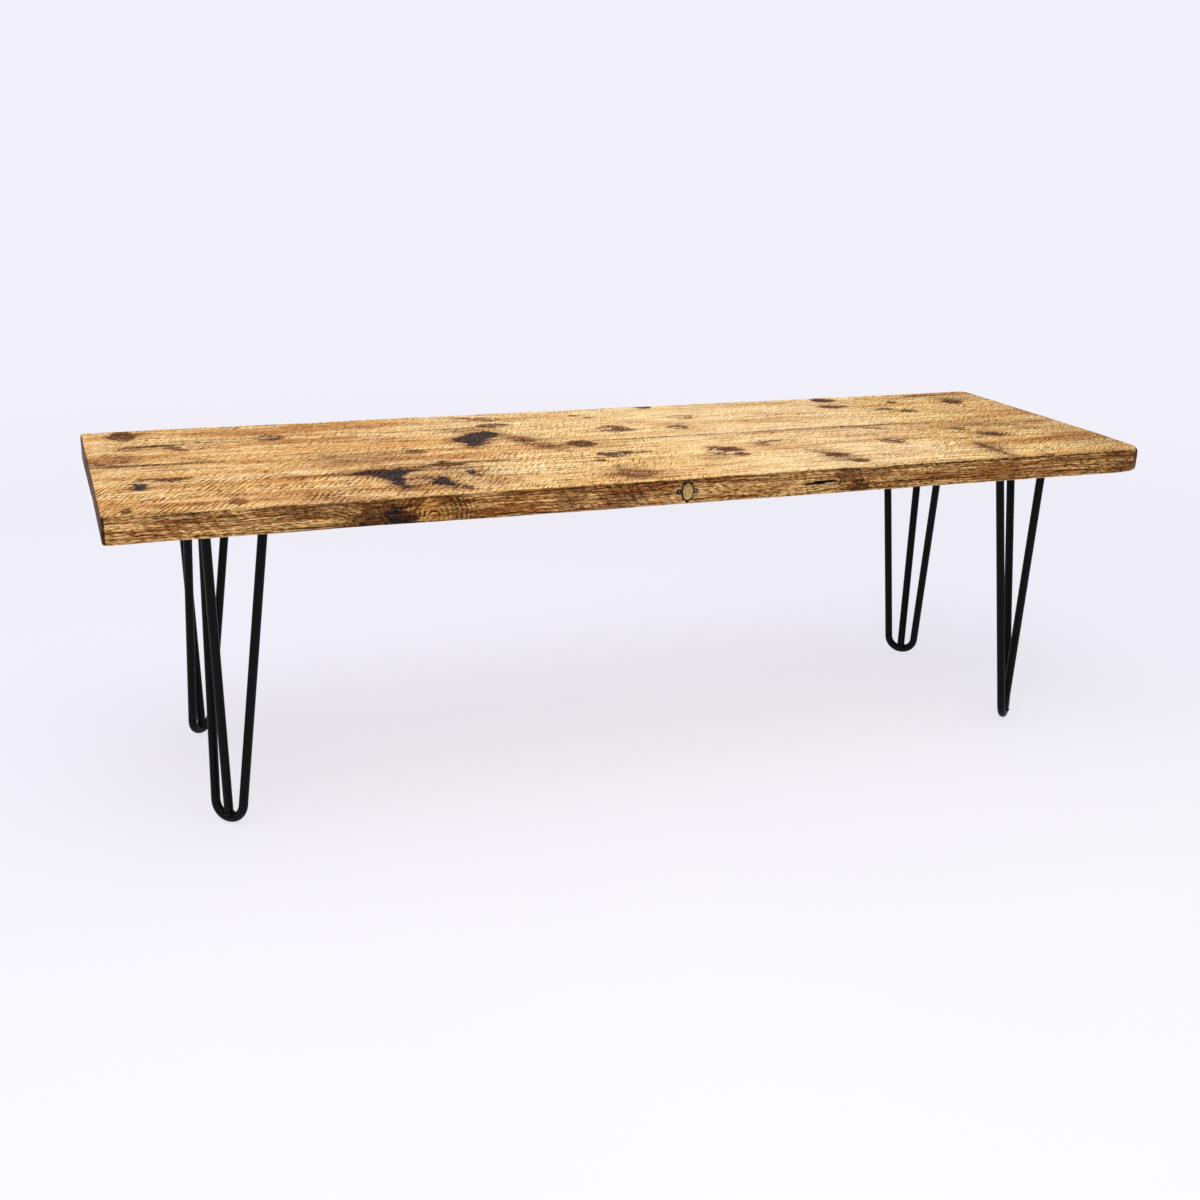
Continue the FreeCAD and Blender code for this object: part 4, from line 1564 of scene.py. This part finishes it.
    def lay(self, fields: dict[str, Array], mark: Mark, u: Array, v: Array,
            behind: Union[Array, float] = 0.0) -> None:
        """Lays one mark into the fields.

        Args:
            fields: the fields so far, which this changes.
            mark: the mark.
            u: first coordinate on the face that shows it, in millimetres.
            v: second coordinate.
            behind: how far each point lies behind that face, in millimetres.
        """
        def deepen(name: str, amount: Array) -> None:
            """Raises a field to an amount where it is lower."""
            fields[name] = np.maximum(fields[name], amount)

        reach = mark.reach(u, v)
        if mark.kind in BLURS:
            blur = BLURS[mark.kind]
            shown = np.clip(BLUR_CORE * np.exp(-blur.steepness * reach ** blur.power), 0.0, 1.0)
            deepen(blur.field, mark.strength * shown)
            return
        halo = HALOS[mark.kind]
        inside = mark.inside(u, v) - behind
        deepen("haze", halo.share * mark.strength * ease(inside, *halo.span))
        closeness = np.exp(-self.bend_fall * reach * reach) * np.exp(-behind / self.bend_depth)
        fields["bend"] = fields["bend"] + self.bend_share * mark.size() * mark.strength * closeness
        if mark.kind is MarkKind.CHAR:
            deepen("char", inside)
        elif mark.kind is MarkKind.KNOT:
            stronger = inside > fields["knot"]
            fields["knot"] = np.where(stronger, inside, fields["knot"])
            fields["depth"] = np.where(stronger & (inside > halo.span[0]), mark.strength, fields["depth"])
        else:
            fields["eye"] = np.minimum(fields["eye"], reach + behind * self.eye_taper)


@dataclass(frozen=True)
class BlackPaint:
    """Satin black paint on steel bar, with a fine skin and scuffs. Cells are in metres."""

    deep: Tone = tone(4, 4, 5)
    worn: Tone = tone(11, 11, 13)
    scuffed: Tone = tone(78, 76, 74)
    cloud_cell: Triple = (0.03, 0.03, 0.09)
    skin_cell: Triple = (0.0012, 0.0012, 0.0016)
    drawn_cell: Triple = (0.0016, 0.0016, 0.06)
    scuff_cell: Triple = (0.004, 0.004, 0.006)
    ripple_cell: Triple = (0.0013, 0.0013, 0.0013)
    skin_depth: float = 0.0003
    ripple_depth: float = 0.0008
    foot_fade: Pair = (0.004, 0.035)
    gloss: float = 0.10

    def dress(self, name: str, ripple: float = 0.0) -> bpy.types.Material:
        """Mixes the paint.

        Args:
            name: the material's name.
            ripple: how strong the weld ripple under the paint is, 0 for plain bar.

        Returns:
            The material.
        """
        r = Recipe(name)
        cloud = r.noise(r.stretch(r.place, self.cloud_cell), 3.0, 0.55)
        skin = r.noise(r.stretch(r.place, self.skin_cell))
        drawn = r.noise(r.stretch(r.place, self.drawn_cell))
        foot = r.band(r.split(r.place)[2], *self.foot_fade, 0.5, 0.0)
        scuff = r.times(r.band(r.noise(r.stretch(r.place, self.scuff_cell), 4.0, 0.7), 0.56, 0.68), foot)
        colour = r.mix(r.band(cloud, 0.40, 0.70, 0.0, 0.45), self.deep, self.worn)
        colour = r.mix(scuff, colour, self.scuffed)
        height = r.plus(r.times(skin, 0.5), r.times(drawn, 0.5))
        normal = r.bump(height, 0.22, self.skin_depth)
        if ripple > 0.0:
            coil = r.noise(r.stretch(r.place, self.ripple_cell), 3.0, 0.6, 0.8)
            normal = r.bump(coil, ripple, self.ripple_depth, normal)
        rough = r.band(r.plus(r.times(cloud, 0.7), r.times(skin, 0.3)), 0.32, 0.68, 0.36, 0.52)
        return r.finish(Base_Color=colour, Roughness=rough, Normal=normal, Specular_IOR_Level=self.gloss)


@dataclass(frozen=True)
class BareMetal:
    """A bare or plated metal with drawn lines, dull spots and dirt. Cells are in metres."""

    bright: Tone
    dull: Tone
    roughness: Pair = (0.24, 0.46)
    line_cell: Triple = (0.004, 0.004, 0.0004)
    bump: float = 0.2
    cloud_cell: Triple = (0.004, 0.004, 0.004)
    line_depth: float = 0.0002

    def dress(self, name: str) -> bpy.types.Material:
        """Mixes the metal.

        Args:
            name: the material's name.

        Returns:
            The material.
        """
        r = Recipe(name)
        cloud = r.noise(r.stretch(r.place, self.cloud_cell), 4.0, 0.6)
        line = r.noise(r.stretch(r.place, self.line_cell), 3.0, 0.6)
        colour = r.mix(r.band(cloud, 0.40, 0.66), self.bright, self.dull)
        colour = r.mix(r.band(line, 0.52, 0.72, 0.0, 0.4), colour, self.dull)
        rough = r.band(r.plus(r.times(cloud, 0.6), r.times(line, 0.4)), 0.34, 0.66, *self.roughness)
        normal = r.bump(line, self.bump, self.line_depth)
        return r.finish(Base_Color=colour, Roughness=rough, Normal=normal, Metallic=1.0)


@dataclass(frozen=True)
class DryBeech:
    """Plain dry beech of the hidden dowels. Cells are in metres."""

    light: Tone = tone(222, 190, 150)
    fleck: Tone = tone(176, 132, 92)
    fibre_cell: Triple = (0.0011, 0.03, 0.0011)
    fleck_cell: Triple = (0.0006, 0.003, 0.0006)
    fibre_depth: float = 0.0003

    def dress(self, name: str) -> bpy.types.Material:
        """Mixes the beech.

        Args:
            name: the material's name.

        Returns:
            The material.
        """
        r = Recipe(name)
        fibre = r.noise(r.stretch(r.place, self.fibre_cell), 3.0, 0.6)
        fleck = r.noise(r.stretch(r.place, self.fleck_cell))
        colour = r.mix(r.band(fibre, 0.40, 0.66), self.light, self.fleck)
        colour = r.mix(r.band(fleck, 0.60, 0.74, 0.0, 0.7), colour, self.fleck)
        rough = r.band(fibre, 0.3, 0.7, 0.55, 0.75)
        normal = r.bump(fibre, 0.3, self.fibre_depth)
        return r.finish(Base_Color=colour, Roughness=rough, Normal=normal)


def dress_node(name: str, material: bpy.types.Material) -> None:
    """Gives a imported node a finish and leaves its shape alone.

    Args:
        name: the node's name.
        material: the finish.
    """
    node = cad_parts[name]
    if not node.material_slots:
        node.data.materials.append(material)
    for place in node.material_slots:
        place.material = material
    log.info("%s: dressed with %s", name, material.name)


def dress_piece(piece: bpy.types.Object, material: bpy.types.Material) -> None:
    """Gives a new piece its one finish.

    Args:
        piece: the piece.
        material: the finish.
    """
    piece.data.materials.clear()
    piece.data.materials.append(material)
    log.info("%s: %d points, dressed with %s", piece.name, len(piece.data.vertices), material.name)


@dataclass
class Seat:
    """The two boards, edge to edge, and the dowels between them."""

    front: Board = field(default_factory=lambda: Board(
        "front_board", EdgeSide.FRONT, left_corner=6.0, right_corner=27.0, columns=540, rows=92,
        pith=(-0.262, 0.275), edge_marks=FRONT_EDGE_MARKS, seed=11))
    back: Board = field(default_factory=lambda: Board(
        "back_board", EdgeSide.BACK, left_corner=8.0, right_corner=12.0, columns=540, rows=84,
        pith=(0.205, 0.600), edge_marks=BACK_EDGE_MARKS, seed=57, left_trim=1.7))
    pine: WaxedPine = WaxedPine()
    beech: DryBeech = DryBeech()

    def build(self) -> None:
        """Models both boards and dresses them and the dowels."""
        for board in (self.front, self.back):
            dress_piece(board.build(), self.pine.dress(board.node + "_waxed_pine", *board.pith))
        dress_node("joint_dowels", self.beech.dress("dry_beech"))


@dataclass
class Legs:
    """The four hairpin legs with their plates, welds and screws."""

    names: tuple[str, ...] = ("front_left", "front_right", "back_left", "back_right")
    paint: BlackPaint = BlackPaint()
    zinc: BareMetal = BareMetal(tone(206, 205, 200), tone(140, 138, 132))
    weld_ripple: float = 0.8

    def build(self) -> None:
        """Dresses every leg's pieces."""
        bar = self.paint.dress("satin_black_bar")
        weld = self.paint.dress("painted_weld", self.weld_ripple)
        zinc = self.zinc.dress("zinc_plate")
        for leg in self.names:
            for piece, finish in (("hairpin_rod", bar), ("brace_rod", bar), ("mounting_plate", bar),
                                  ("weld_beads", weld), ("plate_screws", zinc)):
                dress_node(leg + "_" + piece, finish)


@dataclass(frozen=True)
class Boss:
    """A round or oval boss of the badge's frame, in millimetres. Each step is a way in and a rise."""

    name: str
    width: float
    height: float
    proud: float
    sides: int
    steps: tuple[Pair, ...]


@dataclass
class Badge:
    """The oval badge on the front edge, in millimetres: a cast dark frame, a brass oval and two pins."""

    node: str = "badge_bezel"
    let_in: float = 1.6
    rim: Boss = Boss("badge_frame", 17.2, 25.6, 0.9, 72, ((1.0, 1.5), (1.0, 0.0), (0.5, -1.5)))
    ear: Boss = Boss("badge_ear", 7.0, 7.0, 0.6, 40, ((0.7, 0.8),))
    tip: Boss = Boss("badge_tip", 5.2, 5.2, 0.5, 28, ((0.5, 0.6), (0.6, 0.3)))
    leaf: Boss = Boss("badge_leaf", 3.6, 3.6, 0.5, 24, ((0.5, 0.5), (0.5, 0.25)))
    ear_offset: float = 11.8
    tip_offset: float = 12.7
    leaf_place: Pair = (6.0, 10.1)
    bead_count: int = 40
    bead_radius: float = 0.75
    bead_inset: float = 0.35
    bead_height: float = 1.1
    bead_flatness: float = 0.85
    bead_faces: tuple[int, int] = (12, 8)
    rim_points: int = 721
    smooth_angle: float = 42.0
    front_tilt: float = -0.9
    bronze: BareMetal = BareMetal(
        tone(74, 66, 62), tone(26, 23, 23), (0.34, 0.58), line_cell=(0.001, 0.001, 0.001), bump=0.5)
    brass: BareMetal = BareMetal(
        tone(206, 170, 110), tone(172, 134, 78), (0.32, 0.52), line_cell=(0.0005, 0.0005, 0.007), bump=0.35)
    nickel: BareMetal = BareMetal(tone(104, 100, 106), tone(44, 41, 45), (0.16, 0.34))

    def build(self) -> None:
        """Models the frame, and dresses it, the brass oval and the pins."""
        low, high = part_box(self.node)
        self.middle = Vector(((low[0] + high[0]) / 2.0, high[1], (low[2] + high[2]) / 2.0))
        frame_piece = self.cast_frame()
        dress_piece(frame_piece, self.bronze.dress("dark_bronze_frame"))
        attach(frame_piece, BODY)
        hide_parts(self.node)
        dress_node("badge_disc", self.brass.dress("brushed_brass"))
        dress_node("badge_pins", self.nickel.dress("dull_nickel"))

    def cast_frame(self) -> bpy.types.Object:
        """Models the frame: a raised oval rim with beads, two ears, two tips and four leaves.

        Returns:
            The frame as one piece at the origin.
        """
        frame_piece = self.raised(self.rim, 0.0, 0.0)
        parts = [frame_piece]
        for side in (-1.0, 1.0):
            parts.append(self.raised(self.ear, side * self.ear_offset, 0.0))
            parts.append(self.raised(self.tip, 0.0, side * self.tip_offset))
            for end in (-1.0, 1.0):
                parts.append(self.raised(self.leaf, side * self.leaf_place[0], end * self.leaf_place[1]))
        parts += self.beads()
        deselect()
        for part in parts:
            part.select_set(True)
        bpy.context.view_layer.objects.active = frame_piece
        bpy.ops.object.join()
        bpy.ops.object.transform_apply(location=True, rotation=True, scale=True)
        bpy.ops.object.shade_smooth_by_angle(angle=math.radians(self.smooth_angle))
        return frame_piece

    def raised(self, boss: Boss, x: float, z: float) -> bpy.types.Object:
        """Models one boss that is let into the wood.

        Args:
            boss: its sizes.
            x: its place beside the badge's middle.
            z: its place above the middle.

        Returns:
            The boss, still in edit mode.
        """
        deselect()
        place = self.middle + Vector((x, 0.5 * (self.let_in - boss.proud), z)) * MM
        bpy.ops.mesh.primitive_cylinder_add(vertices=boss.sides, radius=0.5, depth=1.0, location=place,
                                            rotation=(math.radians(90.0), 0.0, 0.0))
        piece = bpy.context.object
        piece.name = boss.name
        piece.scale = (boss.width * MM, boss.height * MM, (self.let_in + boss.proud) * MM)
        bpy.ops.object.transform_apply(location=True, rotation=True, scale=True)
        for face in piece.data.polygons:
            face.select = face.normal.y < self.front_tilt
        bpy.ops.object.mode_set(mode="EDIT")
        bpy.ops.mesh.select_mode(type="FACE")
        for width, rise in boss.steps:
            bpy.ops.mesh.inset(thickness=width * MM, depth=rise * MM)
        return piece

    def beads(self) -> list[bpy.types.Object]:
        """Models one bead and copies it round the rim, evenly along the oval.

        Returns:
            The beads.
        """
        deselect()
        segments, rings = self.bead_faces
        radius = self.bead_radius * MM
        bpy.ops.mesh.primitive_uv_sphere_add(segments=segments, ring_count=rings, radius=radius)
        first = bpy.context.object
        first.name = "badge_bead"
        bpy.ops.object.mode_set(mode="EDIT")
        bpy.ops.mesh.select_all(action="SELECT")
        bpy.ops.transform.resize(value=(1.0, self.bead_flatness, 1.0))
        bpy.ops.object.mode_set(mode="OBJECT")
        turn = np.linspace(0.0, FULL_TURN, self.rim_points)
        across = (0.5 * self.rim.width - self.bead_inset) * np.cos(turn)
        up = (0.5 * self.rim.height - self.bead_inset) * np.sin(turn)
        run = np.concatenate([[0.0], np.cumsum(np.hypot(np.diff(across), np.diff(up)))])
        stops = np.linspace(0.0, run[-1], self.bead_count, endpoint=False)
        pieces = []
        for x, z in zip(np.interp(stops, run, across), np.interp(stops, run, up)):
            bead = first if not pieces else first.copy()
            if pieces:
                bead.data = first.data.copy()
                bpy.context.scene.collection.objects.link(bead)
            bead.location = self.middle + Vector((float(x), -self.bead_height, float(z))) * MM
            pieces.append(bead)
        return pieces


@dataclass(frozen=True)
class Softbox:
    """A soft rectangular lamp, in metres and watts."""

    name: str
    place: Triple
    target: Triple
    size: Pair
    power: float


@dataclass
class Studio:
    """The camera, the pale floor and the soft light, in metres, degrees and a lens in millimetres."""

    camera_place: Triple = (-0.784654, -1.963896, 0.894324)
    yaw: float = 21.047
    pitch: float = 18.222
    roll: float = 1.459
    lens: float = 44.954
    sensor: float = 36.0
    near_white: Tone = tone(252, 252, 253)
    far_white: Tone = tone(242, 240, 249)
    sky: Tone = tone(250, 250, 255)
    sky_strength: float = 0.52
    floor_radius: float = 9.0
    floor_sides: int = 96
    floor_cell: Triple = (0.8, 0.8, 0.8)
    rear_fade: Pair = (-1.5, 0.4)
    rim_fade: Pair = (2.2, 5.0)
    shadow_fade: Pair = (0.9, 3.0)
    shadow_lift: Pair = (0.80, 1.0)
    lamps: tuple[Softbox, ...] = (
        Softbox("overhead_softbox", (-0.5, -0.5, 2.6), (0.0, 0.0, 0.40), (2.6, 1.6), 47.0),
        Softbox("front_softbox", (-1.6, -2.6, 1.6), (0.0, 0.0, 0.35), (1.6, 1.2), 18.0),
    )

    def build(self) -> None:
        """Sets up the camera, floor, world and lamps."""
        self.set_camera()
        self.set_floor()
        self.set_world()
        for lamp in self.lamps:
            self.hang(lamp)
        bpy.context.scene.view_settings.view_transform = "Standard"
        log.info("studio: camera, floor, world and %d lamps", len(self.lamps))

    def set_camera(self) -> None:
        """Puts the camera where the photograph was taken from."""
        lens = bpy.data.cameras.new("photo_camera")
        lens.sensor_width = self.sensor
        lens.lens = self.lens
        camera = bpy.data.objects.new("photo_camera", lens)
        bpy.context.scene.collection.objects.link(camera)
        turn = Matrix.Rotation(math.radians(-self.yaw), 4, "Z")
        tip = Matrix.Rotation(math.radians(90.0 - self.pitch), 4, "X")
        lean = Matrix.Rotation(math.radians(self.roll), 4, "Z")
        camera.matrix_world = Matrix.Translation(self.camera_place) @ turn @ tip @ lean
        bpy.context.scene.camera = camera

    def set_floor(self) -> None:
        """Lays a wide round floor that fades into the background and keeps the bench's shadow."""
        deselect()
        bpy.ops.mesh.primitive_circle_add(vertices=self.floor_sides, radius=self.floor_radius,
                                          fill_type="NGON", location=(0.0, 0.0, 0.0))
        floor = bpy.context.object
        floor.name = "studio_floor"
        r = Recipe("pale_floor")
        nodes = r.tree.nodes
        x, y, _ = r.split(r.place)
        away = r.math("SQRT", r.plus(r.times(x, x), r.times(y, y)))
        depth = r.most(r.band(y, *self.rear_fade), r.band(away, *self.rim_fade))
        grain = r.noise(r.stretch(r.place, self.floor_cell), 3.0)
        pale = r.mix(depth, self.near_white, self.far_white)
        pale = r.mix(r.band(grain, 0.3, 0.7, 0.0, 0.25), pale, self.far_white)
        glow = nodes.new("ShaderNodeEmission")
        r.give(glow.inputs["Color"], pale)
        matt = nodes.new("ShaderNodeBsdfDiffuse")
        r.give(matt.inputs["Color"], pale)
        ray = nodes.new("ShaderNodeLightPath")
        seen = r.most(ray.outputs["Is Camera Ray"], ray.outputs["Is Glossy Ray"])
        seen = r.most(seen, ray.outputs["Is Transmission Ray"])
        lift = r.times(seen, r.band(away, *self.shadow_fade, *self.shadow_lift))
        blend = nodes.new("ShaderNodeMixShader")
        for socket, value in zip(blend.inputs, (lift, matt.outputs[0], glow.outputs[0])):
            r.give(socket, value)
        r.give(nodes["Material Output"].inputs["Surface"], blend.outputs[0])
        floor.data.materials.append(r.material)

    def set_world(self) -> None:
        """Surrounds the scene with an even white, seen as the pale backdrop."""
        world = bpy.data.worlds.new("studio_world")
        bpy.context.scene.world = world
        world.use_nodes = True
        nodes = world.node_tree.nodes
        links = world.node_tree.links
        light = nodes["Background"]
        light.inputs["Color"].default_value = self.sky
        light.inputs["Strength"].default_value = self.sky_strength
        backdrop = nodes.new("ShaderNodeBackground")
        backdrop.inputs["Color"].default_value = self.far_white
        ray = nodes.new("ShaderNodeLightPath")
        blend = nodes.new("ShaderNodeMixShader")
        links.new(ray.outputs["Is Camera Ray"], blend.inputs[0])
        links.new(light.outputs[0], blend.inputs[1])
        links.new(backdrop.outputs[0], blend.inputs[2])
        links.new(blend.outputs[0], nodes["World Output"].inputs["Surface"])

    def hang(self, softbox: Softbox) -> None:
        """Hangs one lamp.

        Args:
            softbox: its place, aim, size and power.
        """
        lamp = bpy.data.lights.new(softbox.name, "AREA")
        lamp.shape = "RECTANGLE"
        lamp.size, lamp.size_y = softbox.size
        lamp.energy = softbox.power
        holder = bpy.data.objects.new(softbox.name, lamp)
        bpy.context.scene.collection.objects.link(holder)
        aim = (Vector(softbox.target) - Vector(softbox.place)).to_track_quat("-Z", "Y")
        holder.matrix_world = Matrix.Translation(softbox.place) @ aim.to_matrix().to_4x4()


def main() -> None:
    """Builds the bench's pieces in order, then the studio around it."""
    logging.basicConfig(level=logging.INFO, format="%(message)s")
    Seat().build()
    Legs().build()
    Badge().build()
    Studio().build()


if __name__ == "__main__":
    main()
